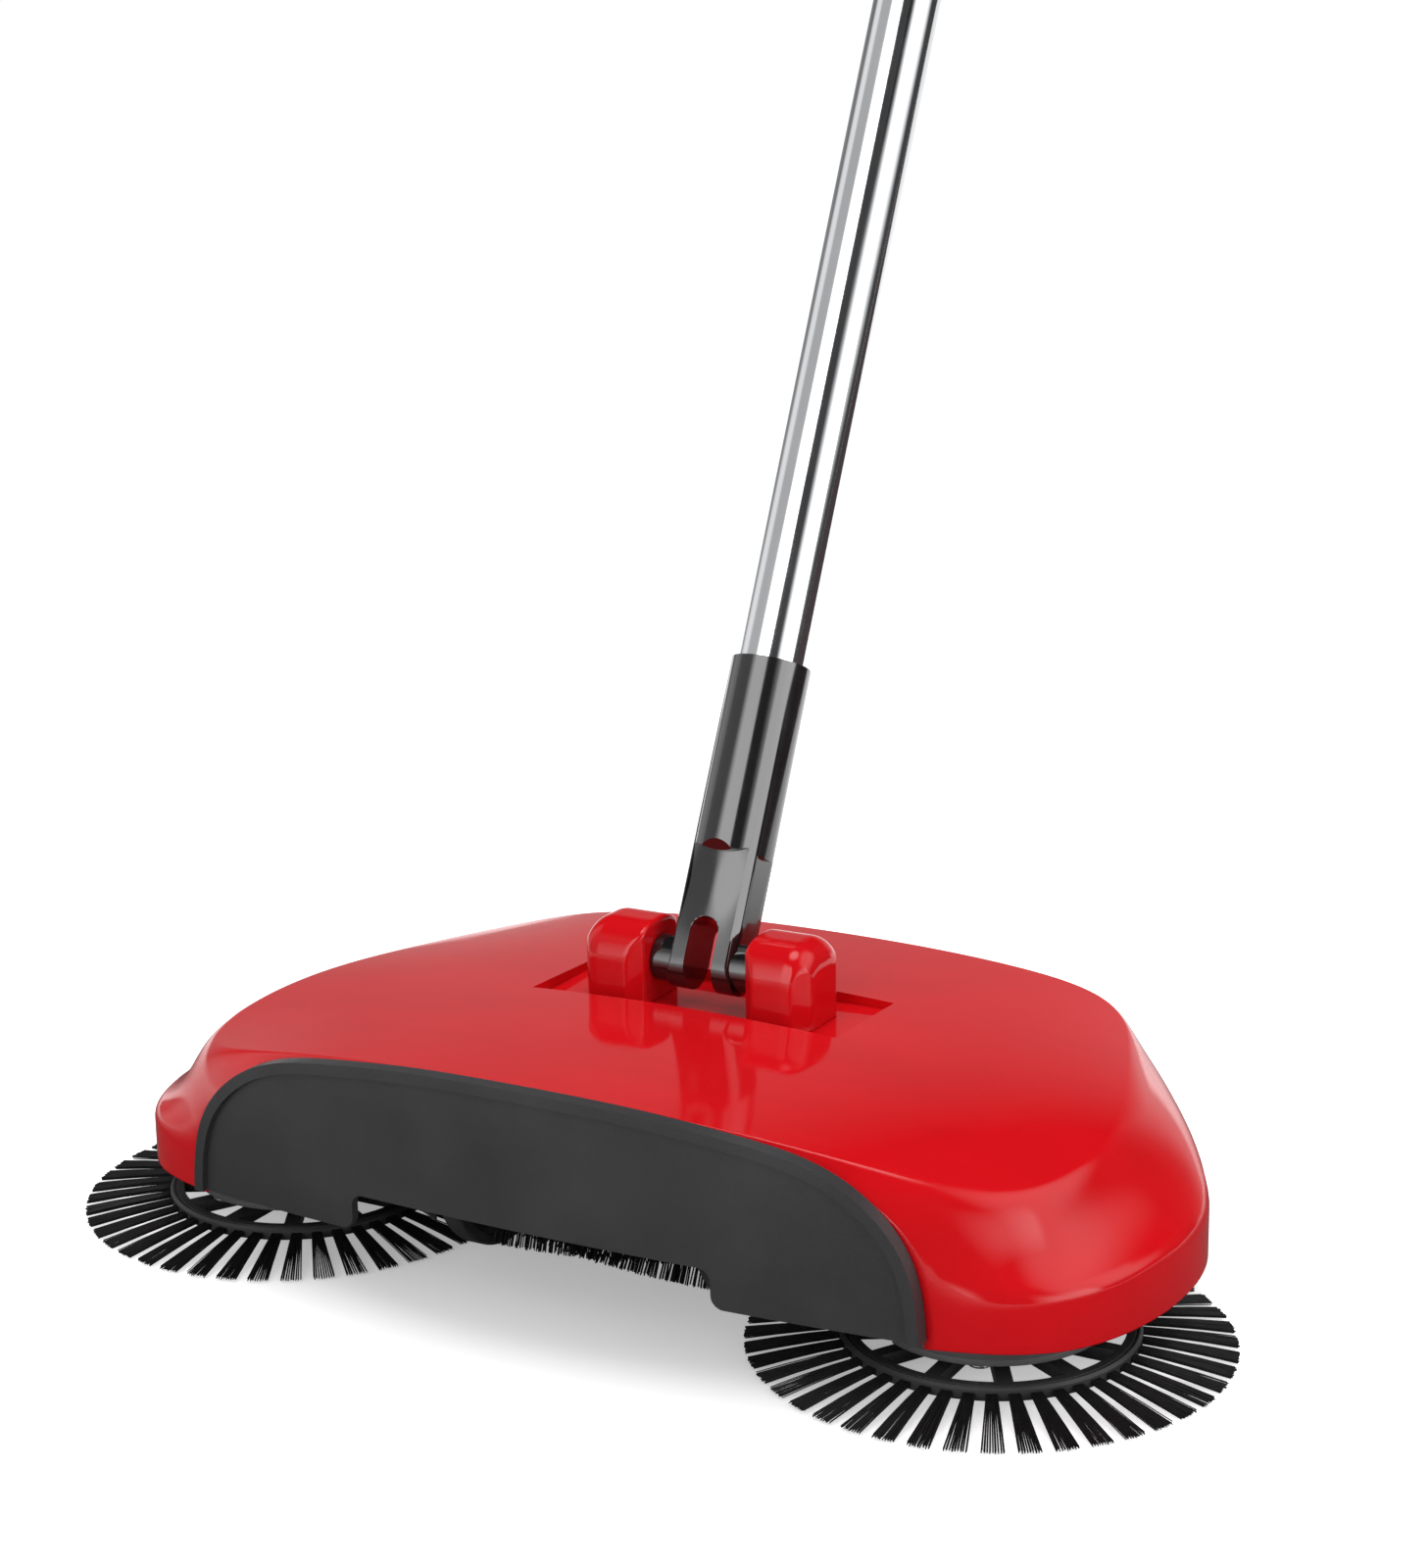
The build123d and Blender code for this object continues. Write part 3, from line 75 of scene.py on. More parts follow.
# Handle's pivot, and the fork's round dents, bores and crowned faces
PIVOT = Vector((0, 55.0, 80.0))
HANDLE_LEAN = 26.0
ALONG = Vector((0, math.sin(math.radians(HANDLE_LEAN)), math.cos(math.radians(HANDLE_LEAN))))
ACROSS = Vector((0, ALONG.z, -ALONG.y))
DENT_R = 14.0
DENT_PLACE = 27.0
DENT_OUT = 21.45
DENT_TOLERANCE = 0.05
BORE_R = 4.0
BORE_TOLERANCE = 0.3
CAP_INSET = 0.2
CAP_RISE = 0.03
FORK_DEPTH = 17.5
FLAT_TOLERANCE = 0.01
CROWN_DEPTH = 1.3
CROWN_HALF = 6.0
CROWN_PLACE = 25.0
CROWN_LENGTH = 12.0

# Cuts that divide the fork's faces, one per millimetre: to each side of the middle, and along the handle
CUTS_HALF = 10
CUTS_ALONG = 38

# Hinge bosses
BOSS_OUTER_X = 40.5
BOSS_ROUND_LENGTH = 8.0
BOSS_ROUND_SHARE = 0.3
BOSS_VOXEL = 0.45
BOSS_RELAX = 0.5
BOSS_RELAX_STEPS = 8

# Shell outline at the skirt behind the panel, right half, and each point's lean at the loft's top
SKIRT = [
    (151.5, -35.6),
    (170.5, 7.3),
    (163.4, 61.5),
    (139.0, 94.7),
    (108.7, 136.5),
    (79.9, 150.4),
]
LEAN = [(24.5, -17.4), (40.7, 0.5), (35.9, 16.9), (19.4, 6.9), (15.2, 5.9), (10.3, 17.9)]

# How far the band swells or hollows at each point, as a share of the lean, and where that ends
HOLLOW = [0.08, 0.1, -0.07, -0.3, 0.0, 0.0]
HOLLOW_END = 0.66

# Largest value of p * (1 - p)**2, which brings the swell's own peak to one
HOLLOW_PEAK = 4 / 27

# At the panel and at each of the points: dip of the lower edge, crease round the deck, fold above the skirt
BOTTOM_DROPS = [0.0, 0.3, 2.0, 2.6, 2.0, 0.0, 0.0]
CREASE_WIDTHS = [16.0, 9.0, 3.0, 3.0, 3.2, 3.4, 4.4]
FOLD_WIDTHS = [8.0, 3.0, 2.5, 4.5, 6.0, 6.0, 6.0]

# Rear of the skirt, its lean at the loft's top, heights of the shell and its wall
SKIRT_REAR_Y = 158.0
LEAN_REAR = 25.2
SKIRT_BOTTOM_Z = 18.0
SKIRT_TOP_Z = 34.0
LOFT_TOP_Z = 80.0
CREASE_END_Z = 91.0
SHELL_WALL = 2.5
WALL_RELIEF = 0.1

# Bowed front, on which the panel lies
FRONT_Y = -58.0
FRONT_BOW_R = 1063.0
BOW_FADE = 90.0
PANEL_THICKNESS = 3.0

# Panel outline in front view, right half, as far as the end of the arch
PANEL_ARCH = [
    (123.4, 20.5),
    (122.6, 30.0),
    (119.8, 42.0),
    (114.0, 52.0),
    (106.5, 59.3),
    (99.0, 64.2),
    (90.0, 67.9),
]
PANEL_REVEAL = 0.7

# Dome of the deck: depth, height in the middle, radius there and fall at FALL_REACH, at three places
DOME = [(-58.0, 75.4, 847.0, 3.25), (10.0, 72.9, 885.0, 0.45), (140.0, 67.9, 1160.0, 2.6)]
FALL_REACH = 100.0
FALL_POWER = 4

# Recess in the deck and opening for the tray
RECESS_HALF = 54.0
RECESS_FRONT_Y = 35.0
RECESS_REAR_Y = 76.0
RECESS_FLOOR_Z = 66.5
TRAY_HALF = 80.5

# Columns of the shell's skin before, beside and behind the recess
FRONT_COLUMNS = 46
RECESS_COLUMNS = 16
REAR_COLUMNS = 60

# Rows of the skin: up the skirt, over the band, in to the line of the recess's sides and on to the middle
SKIRT_RISES = (0, 0.4, 2, 4, 6, 8, 9.5, 11, 12.2, 13.2, 14, 14.7, 15.3, 15.7)
BAND_ROWS = 90
EDGE_ROWS = 10
SPINE_ROWS = 14

# Rows of the band among which the fold's rounding ends
FOLD_ROWS = 40

# Course of the deck's columns: how they narrow to the recess's sides, and how they spread behind it
EDGE_RATIO = 1.4
SPINE_POWER = 2.4
FLARE_POWER = 1.5

# Joining distance of the skin's points, and samples of its curves
SKIN_WELD = 0.02
ARCH_SAMPLES = 120
ARCH_END_SAMPLES = 4
SIDE_SAMPLES = 200
REAR_SAMPLES = 50

# Strands of the brushes
STRAND_SIDES = 4
STRAND_TAPER = 0.18

# Disc brushes
DISC_X = 121.0
DISC_TIP_R = 71.0
RING_OUTER_R = 43.5
RING_INNER_R = 41.75
RING_BOTTOM_Z = 2.4
RING_TOP_Z = 6.4
RING_INNER_EDGE = 0.4
RING_FOOT_EDGE = 0.5
RING_TOP_EDGE = 0.8
RING_SEGMENTS = 132
TUFTS = 44
TUFT_ACROSS = 9
TUFT_LAYERS = 3
TUFT_ROOT_WIDTH = 3.2
TUFT_ROOT_FILL = 0.86
TUFT_TIP_WIDTH = 6.0
LAYER_GAP = 0.45
LAYER_TIP_SHARE = 0.8
ROOT_INSET = 0.5
ROOT_Z = 4.4
TIP_Z = 1.25
TIP_GAP = 0.3
TIP_VARY = 0.7
TIP_WANDER = 0.12
TIP_JITTER = 0.1
STRAND_R = 0.24
STRAND_BOW = 0.25
STRAND_RINGS = 4

# Roller brush, with the fan of a tuft round the axle in radians
AXLE_Z = 33.0
ROLLER_HALF = 39.5
ROLLER_CORE_R = 9.05
ROLLER_BACKING_R = 10.4
ROLLER_BACKING_EDGE = 0.4
ROLLER_BACKING_SEGMENTS = 64
ROLLER_ROOT_RATIO = 1.05
ROLLER_TIP_R = 32.6
ROLLER_TIP_GAP = 0.35
ROLLER_TIP_VARY = 0.8
ROLLER_END_GAP = 0.3
ROLLER_ROWS = 8
ROLLER_TUFTS = 24
ROLLER_TWIST = 26.0
ROLLER_STRANDS = 14
ROLLER_ROOT_SPREAD = 0.8
ROLLER_TIP_SPREAD = 2.1
ROLLER_ROOT_FAN = 0.1
ROLLER_TIP_FAN = 0.085
ROLLER_STRAND_R = 0.28
ROLLER_STRAND_RINGS = 3

# Floor: its own tone, and how much darker it is near the object in reflections, a painted shade on the
# floor that only reflections show
FLOOR_HALF = 6000.0
FLOOR_DROP = 0.02
FLOOR_TONE = 0.8
FLOOR_PAINTED_DIM = 0.74

# Floor's lift towards white: near the object to the camera and in reflections, and far from it. The lower
# lifts near the object are painted shade under and around it
SEEN_SHADE_LIFT = 0.36
MIRRORED_SHADE_LIFT = 0.06
FAR_LIFT = 0.75

# Distance from the object, shifted and stretched, and where each tone changes along it, in metres
FLOOR_SHIFT = (0, -0.03, 0)
FLOOR_STRETCH = (0.72, 1.0, 1.0)
PAINTED_DIM_REACH = (0.2, 0.42)
SEEN_REACH = (0.09, 0.15)
MIRRORED_REACH = (0.2, 0.9)

# Light of the world, and what the lamps point at, in metres
WORLD_LIGHT = 0.35
LAMP_TARGET = (0, 0.05, 0.06)

# Surround of the reflections, in metres
SURROUND_R = 40.0
SURROUND_DROP = 0.03
SURROUND_SEGMENTS = 96
SURROUND_RINGS = 48

# Tones low down in the surround, by turn from the camera's side
LEFT_BANDS = [
    (-140, 0.0),
    (-126, 0.22),
    (-110, 0.22),
    (-104, 0.12),
    (-67, 0.12),
    (-51, 1.0),
    (-13, 1.0),
    (-9, 0.015),
    (22, 0.015),
    (27, 0.0),
]
RIGHT_BANDS = [(17, 0.0), (38, 1.0), (70, 1.0), (76, 0.015), (128, 0.015), (131, 0.0)]
REAR_BANDS = [
    (-180, 0.7),
    (-170, 0.4),
    (-140, 0.4),
    (-126, 0.0),
    (126, 0.0),
    (140, 1.0),
    (168, 1.0),
    (180, 0.7),
]

# Each set of bands with its strength and the rise where it starts and ends to fade
LOW_BANDS = [(LEFT_BANDS, 4.5, 46, 56), (RIGHT_BANDS, 4.5, 20, 39), (REAR_BANDS, 0.75, 5, 31)]

# Soft lights in the surround: turn, rise, inner and outer angle, and strength
SOFT_LIGHTS = [(0, 88, 5, 20, 6.0), (82, 40, 6, 37, 2.5)]

# Dark sector of the floor in reflections: turns, reach in metres, height in metres and tone
DARK_TURNS = (79, 126)
DARK_REACH = (0.8, 30.0)
DARK_RISE = 0.0005
DARK_TONE = (0.08, 0.06, 0.06)


def new_object(name, data):
    obj = bpy.data.objects.new(name, data)
    bpy.context.scene.collection.objects.link(obj)
    return obj


def mesh_from(name, points, faces):
    """Mesh from points in millimetres."""
    mesh = bpy.data.meshes.new(name)
    mesh.from_pydata([Vector(p) * MM for p in points], [], faces)
    mesh.validate()
    return mesh


def mesh_of(name, bm):
    """Mesh from an edit mesh, which is freed."""
    mesh = bpy.data.meshes.new(name)
    bm.to_mesh(mesh)
    bm.free()
    return mesh


def smooth(obj, angle):
    """Smooth shading, sharp past the given angle."""
    obj.data.polygons.foreach_set("use_smooth", [True] * len(obj.data.polygons))
    obj.data.set_sharp_from_angle(angle=math.radians(angle))


# Camera
def make_camera():
    azimuth = math.radians(CAMERA_AZIMUTH)
    elevation = math.radians(CAMERA_ELEVATION)
    roll = math.radians(CAMERA_ROLL)
    back = Vector(
        (
            math.sin(azimuth) * math.cos(elevation),
            -math.cos(azimuth) * math.cos(elevation),
            math.sin(elevation),
        )
    )
    level_right = (-back).cross(Vector((0, 0, 1))).normalized()
    level_up = level_right.cross(-back)
    right = level_right * math.cos(roll) + level_up * math.sin(roll)
    up = level_up * math.cos(roll) - level_right * math.sin(roll)
    turn = Matrix((right, up, back)).transposed().to_4x4()
    camera = new_object("camera", bpy.data.cameras.new("camera"))
    camera.matrix_world = Matrix.Translation(Vector(CAMERA_PLACE) * MM) @ turn
    camera.data.sensor_width = SENSOR
    camera.data.lens = CAMERA_FOCAL_PIXELS / PHOTO_HEIGHT * SENSOR
    camera.data.clip_start = CAMERA_NEAR * MM
    bpy.context.scene.camera = camera


make_camera()


# Materials
class Nodes:
    """Short names for building one material's nodes."""

    def __init__(self, name):
        self.material = bpy.data.materials.new(name)
        self.material.use_nodes = True
        self.tree = self.material.node_tree
        self.shader = self.tree.nodes["Principled BSDF"]
        self.place = self.add("ShaderNodeTexCoord").outputs["Object"]

    def add(self, kind, **values):
        node = self.tree.nodes.new(kind)
        for key, value in values.items():
            setattr(node, key, value)
        return node

    def link(self, start, end):
        self.tree.links.new(start, end)

    def set(self, **values):
        for key, value in values.items():
            self.shader.inputs[key.replace("_", " ")].default_value = value

    def surface(self, shader):
        self.link(shader, self.tree.nodes["Material Output"].inputs["Surface"])

    def noise(self, scale, detail, roughness=0.55, stretch=None, lean=0.0):
        """Noise of a scale per metre, on places that are leant about X and stretched."""
        node = self.add("ShaderNodeTexNoise")
        node.inputs["Scale"].default_value = scale
        node.inputs["Detail"].default_value = detail
        node.inputs["Roughness"].default_value = roughness
        source = self.place
        if stretch:
            mapping = self.add("ShaderNodeMapping")
            mapping.inputs["Rotation"].default_value = (math.radians(lean), 0, 0)
            mapping.inputs["Scale"].default_value = stretch
            self.link(self.place, mapping.inputs["Vector"])
            source = mapping.outputs["Vector"]
        self.link(source, node.inputs["Vector"])
        return node.outputs["Fac"]

    def ramp(self, source, low, high, start=0.3, end=0.7):
        """Map a value between start and end onto the range from low to high."""
        node = self.add("ShaderNodeMapRange")
        node.inputs["From Min"].default_value = start
        node.inputs["From Max"].default_value = end
        node.inputs["To Min"].default_value = low
        node.inputs["To Max"].default_value = high
        self.link(source, node.inputs["Value"])
        return node.outputs["Result"]

    def combine(self, operation, *terms, clamp=False):
        """Result of an operation on sockets and numbers."""
        node = self.add("ShaderNodeMath", operation=operation, use_clamp=clamp)
        for term, socket in zip(terms, node.inputs):
            if isinstance(term, bpy.types.NodeSocket):
                self.link(term, socket)
            else:
                socket.default_value = term
        return node.outputs[0]

    def blend(self, source, stops):
        """Colour of a value, from stops of a place and a colour."""
        node = self.add("ShaderNodeValToRGB")
        elements = node.color_ramp.elements
        while len(elements) < len(stops):
            elements.new(0.5)
        for element, (place, colour) in zip(elements, stops):
            element.position = place
            element.color = (*colour, 1)
        self.link(source, node.inputs["Fac"])
        return node.outputs["Color"]

    def colours(self, source, stops):
        self.link(self.blend(source, stops), self.shader.inputs["Base Color"])

    def roughness(self, source, limits):
        self.link(self.ramp(source, *limits), self.shader.inputs["Roughness"])

    def bump(self, layers):
        """Stack bumps: each layer is a height, its strength and its depth."""
        normal = None
        for height, strength, depth in layers:
            node = self.add("ShaderNodeBump")
            node.inputs["Strength"].default_value = strength
            node.inputs["Distance"].default_value = depth * MM
            self.link(height, node.inputs["Height"])
            if normal:
                self.link(normal, node.inputs["Normal"])
            normal = node.outputs["Normal"]
        self.link(normal, self.shader.inputs["Normal"])


def shade(colour, factor):
    return tuple(min(1.0, channel * factor) for channel in colour)


def glossy_plastic(name, colour, roughness=(0.05, 0.11), coat=0.0, ior=1.45):
    """Polished moulding: faint flow streaks, a slight orange peel and fine dust in the gloss."""
    nodes = Nodes(name)
    broad = nodes.noise(14, detail=3, stretch=(1, 2.2, 1))
    fine = nodes.noise(900, detail=2)
    nodes.colours(broad, [(0.25, shade(colour, 0.93)), (0.75, shade(colour, 1.05))])
    nodes.roughness(nodes.noise(60, detail=6), roughness)
    nodes.bump([(nodes.noise(55, detail=1), 0.05, 0.4), (fine, 0.02, 0.1)])
    nodes.set(IOR=ior, Coat_Weight=coat, Coat_Roughness=0.03)
    return nodes.material


def satin_plastic(name, colour, roughness=(0.36, 0.5), grain=2600):
    """Spark-eroded moulding: fine even grain, slight tone changes and rubbed patches."""
    nodes = Nodes(name)
    broad = nodes.noise(22, detail=5)
    fine = nodes.noise(grain, detail=2, roughness=0.6)
    nodes.colours(broad, [(0.2, shade(colour, 0.82)), (0.5, colour), (0.8, shade(colour, 1.2))])
    nodes.roughness(nodes.noise(40, detail=6), roughness)
    nodes.bump([(fine, 0.35, 0.08), (nodes.noise(260, detail=3), 0.12, 0.08)])
    nodes.set(IOR=1.36)
    return nodes.material


def turned_metal(name, colour, stretch, roughness=(0.18, 0.34)):
    """Bright metal with fine tool lines and a little tarnish."""
    nodes = Nodes(name)
    lines = nodes.noise(500, detail=3, stretch=stretch)
    tarnish = nodes.noise(70, detail=6)
    nodes.colours(tarnish, [(0.2, shade(colour, 0.8)), (0.7, colour)])
    nodes.roughness(lines, roughness)
    nodes.bump([(lines, 0.05, 0.03)])
    nodes.set(Metallic=1.0)
    return nodes.material


def polished_tube(name, colour):
    """Polished steel tube: mirror finish with faint lengthwise draw lines."""
    nodes = Nodes(name)
    lines = nodes.noise(1500, detail=3, roughness=0.5, stretch=(1, 1, 0.004), lean=HANDLE_LEAN)
    smudge = nodes.noise(35, detail=6)
    nodes.colours(smudge, [(0.2, shade(colour, 0.92)), (0.75, colour)])
    nodes.roughness(smudge, (0.05, 0.13))
    nodes.bump([(lines, 0.06, 0.04)])
    nodes.set(Metallic=1.0)
    return nodes.material


def bristle_nylon(name, colour):
    """Black nylon filament: smooth, with paler scuffed stretches and a soft gloss."""
    nodes = Nodes(name)
    scuff = nodes.noise(240, detail=5)
    stops = [(0.35, shade(colour, 0.8)), (0.65, shade(colour, 1.2)), (0.9, shade(colour, 2.4))]
    nodes.colours(scuff, stops)
    nodes.roughness(nodes.noise(600, detail=2), (0.36, 0.54))
    nodes.bump([(nodes.noise(4200, detail=1), 0.1, 0.04)])
    nodes.set(IOR=1.28, Specular_IOR_Level=0.3)
    return nodes.material


def moulded_rubber(name, colour):
    """Dull rubber with a fine skin and dust."""
    nodes = Nodes(name)
    dust = nodes.noise(90, detail=7)
    nodes.colours(dust, [(0.35, colour), (0.7, shade(colour, 1.5)), (0.9, shade(colour, 2.6))])
    nodes.roughness(dust, (0.6, 0.82))
    nodes.bump([(nodes.noise(3200, detail=2), 0.35, 0.08)])
    nodes.set(IOR=1.5)
    return nodes.material


# Each slot's kind of material, its name and what it has of its own
RECIPES = {
    "shell_red": (glossy_plastic, "red_gloss", {"ior": 1.33}),
    "panel_charcoal": (satin_plastic, "charcoal_satin", {"roughness": (0.3, 0.42)}),
    "base_grey": (satin_plastic, "grey_moulding", {}),
    "cover_grey": (satin_plastic, "grey_cover", {"roughness": (0.4, 0.55)}),
    "carrier_grey": (satin_plastic, "light_grey_moulding", {}),
    "disc_grey": (satin_plastic, "disc_moulding", {"roughness": (0.38, 0.52)}),
    "gear_black": (satin_plastic, "black_moulding", {"roughness": (0.3, 0.44)}),
    "fork_black": (glossy_plastic, "black_gloss", {"roughness": (0.1, 0.2), "coat": 0.8, "ior": 1.5}),
    "grip_black": (satin_plastic, "soft_grip", {"roughness": (0.5, 0.66), "grain": 1400}),
    "brush_black": (bristle_nylon, "bristle_black", {}),
    "ramp_rubber": (moulded_rubber, "ramp_rubber", {}),
    "tyre_rubber": (moulded_rubber, "tyre_rubber", {}),
    "tube_chrome": (polished_tube, "polished_tube", {}),
    "shaft_steel": (turned_metal, "turned_steel", {"stretch": (0.05, 1, 1)}),
    "screw_steel": (turned_metal, "screw_steel", {"stretch": (1, 1, 0.2), "roughness": (0.16, 0.3)}),
    "bush_bronze": (turned_metal, "bronze", {"stretch": (0.2, 1, 1), "roughness": (0.28, 0.45)}),
}

# Painted shade: slots that render darker than the imported record's colour, for the shade under the shell
# on the disc mouldings
PAINTED_SHADE_TONES = {"disc_grey": 0.6}


def slot_colour(slot):
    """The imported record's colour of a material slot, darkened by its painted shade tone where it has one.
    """
    for entry in frame["record"]["materials"]:
        if entry["slot"] == slot:
            return shade(entry["base_color"][:3], PAINTED_SHADE_TONES.get(slot, 1.0))
    raise KeyError(slot)


MATERIALS = {}
for slot, (make, name, values) in RECIPES.items():
    MATERIALS[slot] = make(name, slot_colour(slot), **values)


def finish_piece(obj, slot, body, *nodes):
    """Give a new piece its slot's material and its body, and hide the nodes that it stands for."""
    obj.data.materials.clear()
    obj.data.materials.append(MATERIALS[slot])
    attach(obj, body)
    if nodes:
        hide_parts(*nodes)


def soften(obj, width):
    """Join the faces' edges, round them and even out the shading."""
    weld = obj.modifiers.new("weld", "WELD")
    weld.merge_threshold = WELD * MM
    bevel = obj.modifiers.new("edges", "BEVEL")
    bevel.width = width * MM
    bevel.segments = EDGE_SEGMENTS
    bevel.limit_method = "ANGLE"
    bevel.angle_limit = math.radians(EDGE_ANGLE)
    even = obj.modifiers.new("even", "WEIGHTED_NORMAL")
    even.weight = EVEN_WEIGHT


# CAD nodes keep their meshes, with better materials and softened edges
for part in frame["record"]["subparts"]:
    node = frame["nodes"][part["node"]]
    node.data.materials.clear()
    node.data.materials.append(MATERIALS[part["material_slot"]])
    small = any(word in part["node"] for word in SMALL_NODES)
    soften(node, SMALL_EDGE_WIDTH if small else EDGE_WIDTH)


# Fork, with crowned faces where the CAD has round thumb dents, and with its pins' bores closed
def edges_of(faces):
    return list(dict.fromkeys(edge for face in faces for edge in face.edges))


def close_over(bm, faces):
    """Take faces out and close their rims with level faces."""
    inner = set(faces)
    rim = [edge for edge in edges_of(faces) if any(face not in inner for face in edge.link_faces)]
    bmesh.ops.delete(bm, geom=faces, context="FACES")
    return bmesh.ops.holes_fill(bm, edges=[edge for edge in rim if edge.is_valid], sides=0)["faces"]


def dent_faces(bm, side):
    """Faces of one round dent."""
    centre = (PIVOT + ALONG * DENT_PLACE + ACROSS * side * DENT_OUT) * MM
    found = []
    for face in bm.faces:
        offsets = [abs((vert.co - centre).length - DENT_R * MM) for vert in face.verts]
        if max(offsets) < DENT_TOLERANCE * MM:
            found.append(face)
    return found


def bore_faces(bm, side):
    """Faces of one pin's bore."""
    found = []
    for face in bm.faces:
        offsets = [vert.co - PIVOT * MM for vert in face.verts]
        reaches = [math.hypot(offset.y, offset.z) - BORE_R * MM for offset in offsets]
        if max(map(abs, reaches)) < BORE_TOLERANCE * MM and face.calc_center_median().x * side > 0:
            found.append(face)
    return found


def on_flat(vert, side):
    """Whether a point of the fork lies on its front or back face."""
    depth = (vert.co - PIVOT * MM).dot(ACROSS)
    return abs(depth - side * FORK_DEPTH / 2 * MM) < FLAT_TOLERANCE * MM


def flat_faces(bm, side):
    return [face for face in bm.faces if all(on_flat(vert, side) for vert in face.verts)]


def crown_face(bm, side):
    """Divide one face of the fork into a grid and ease it back towards its edges."""
    bmesh.ops.dissolve_faces(bm, faces=flat_faces(bm, side))
    cuts = [(Vector((x, 0, 0)), Vector((1, 0, 0))) for x in range(-CUTS_HALF, CUTS_HALF + 1)]
    cuts += [(PIVOT + ALONG * place, ALONG) for place in range(1, CUTS_ALONG + 1)]
    for place, normal in cuts:
        faces = flat_faces(bm, side)
        verts = list(dict.fromkeys(vert for face in faces for vert in face.verts))
        geom = verts + edges_of(faces) + faces
        bmesh.ops.bisect_plane(bm, geom=geom, plane_co=place * MM, plane_no=normal)
    for vert in bm.verts:
        if on_flat(vert, side):
            offset = (vert.co - PIVOT * MM) / MM
            ease = 1 - math.exp(-((offset.x / CROWN_HALF) ** 2))
            stretch = math.exp(-(((offset.dot(ALONG) - CROWN_PLACE) / CROWN_LENGTH) ** 2))
            vert.co -= ACROSS * side * CROWN_DEPTH * ease * stretch * MM


def crowned_fork(mesh):
    """Copy of the fork's mesh with crowned faces and closed bores."""
    bm = bmesh.new()
    bm.from_mesh(mesh)
    bmesh.ops.remove_doubles(bm, verts=bm.verts, dist=WELD * MM)
    for side in (1, -1):
        close_over(bm, dent_faces(bm, side))
        crown_face(bm, side)
        caps = close_over(bm, bore_faces(bm, side))
        bmesh.ops.recalc_face_normals(bm, faces=bm.faces)
        bmesh.ops.inset_individual(bm, faces=caps, thickness=CAP_INSET * MM, depth=CAP_RISE * MM)
    return mesh_of("fork_crowned", bm)


fork = new_object("fork_crowned", crowned_fork(frame["nodes"]["handle_fork"].data))
smooth(fork, CRISP_ANGLE)
soften(fork, EDGE_WIDTH)
finish_piece(fork, "fork_black", "handle", "handle_fork")


# Hinge bosses, rounder at their outer ends than the CAD
def rounded_boss(name):
    """Copy of a boss on an even fine mesh, with softened edges and a rounded outer end."""
    boss = new_object(f"boss_rounded_{name}", frame["nodes"][f"hinge_boss_{name}"].data.copy())
    weld = boss.modifiers.new("weld", "WELD")
    weld.merge_threshold = WELD * MM
    even = boss.modifiers.new("even", "REMESH")
    even.mode = "VOXEL"
    even.voxel_size = BOSS_VOXEL * MM
    relax = boss.modifiers.new("relax", "SMOOTH")
    relax.factor = BOSS_RELAX
    relax.iterations = BOSS_RELAX_STEPS
    graph = bpy.context.evaluated_depsgraph_get()
    mesh = bpy.data.meshes.new_from_object(boss.evaluated_get(graph))
    boss.modifiers.clear()
    boss.data = mesh
    for vert in mesh.vertices:
        part = (abs(vert.co.x) / MM - BOSS_OUTER_X + BOSS_ROUND_LENGTH) / BOSS_ROUND_LENGTH
        part = min(1.0, max(0.0, part))
        keep = 1 - BOSS_ROUND_SHARE * (1 - math.sqrt(1 - part * part))
        vert.co.y = PIVOT.y * MM + (vert.co.y - PIVOT.y * MM) * keep
        vert.co.z = RECESS_FLOOR_Z * MM + (vert.co.z - RECESS_FLOOR_Z * MM) * keep
    return boss


for name, _ in SIDES:
    boss = rounded_boss(name)
    smooth(boss, ROUND_ANGLE)
    finish_piece(boss, "shell_red", "body", f"hinge_boss_{name}")


# Curves of the shell
def travelled(curve):
    """Length along a curve at each of its points."""
    return np.concatenate([[0], np.cumsum(np.linalg.norm(np.diff(curve, axis=0), axis=1))])


def natural_spline(points, samples):
    """Points along a natural cubic through the given ones, spaced by chord length."""
    places = np.array(points, float)
    knots = travelled(places)
    chords = np.diff(knots)
    count = len(knots)
    system = np.zeros((count, count))
    system[0, 0] = system[-1, -1] = 1
    target = np.zeros((count, 2))
    for i in range(1, count - 1):
        before, after = chords[i - 1], chords[i]
        system[i, i - 1 : i + 2] = before, 2 * (before + after), after
        slope_after = (places[i + 1] - places[i]) / after
        slope_before = (places[i] - places[i - 1]) / before
        target[i] = 6 * (slope_after - slope_before)
    bends = np.linalg.solve(system, target)
    curve = []
    for t in np.linspace(0, knots[-1], samples):
        i = min(int(np.searchsorted(knots, t, side="right")) - 1, count - 2)
        span = chords[i]
        a = (knots[i + 1] - t) / span
        b = (t - knots[i]) / span
        point = a * places[i] + b * places[i + 1]
        point += ((a**3 - a) * bends[i] + (b**3 - b) * bends[i + 1]) * span**2 / 6
        curve.append(point)
    return np.array(curve)


def panel_back_y(x):
    return FRONT_Y + PANEL_THICKNESS + x * x / (2 * FRONT_BOW_R)


def rear_arc(tail, rear_y, samples):
    """Right half of the arc round the rear, from the tail to the middle."""
    drop = rear_y - tail[1]
    radius = (tail[0] ** 2 + drop**2) / (2 * drop)
    reach = math.asin(tail[0] / radius)
    angles = np.linspace(reach, 0, samples)
    return np.array([(radius * math.sin(t), rear_y - radius + radius * math.cos(t)) for t in angles])


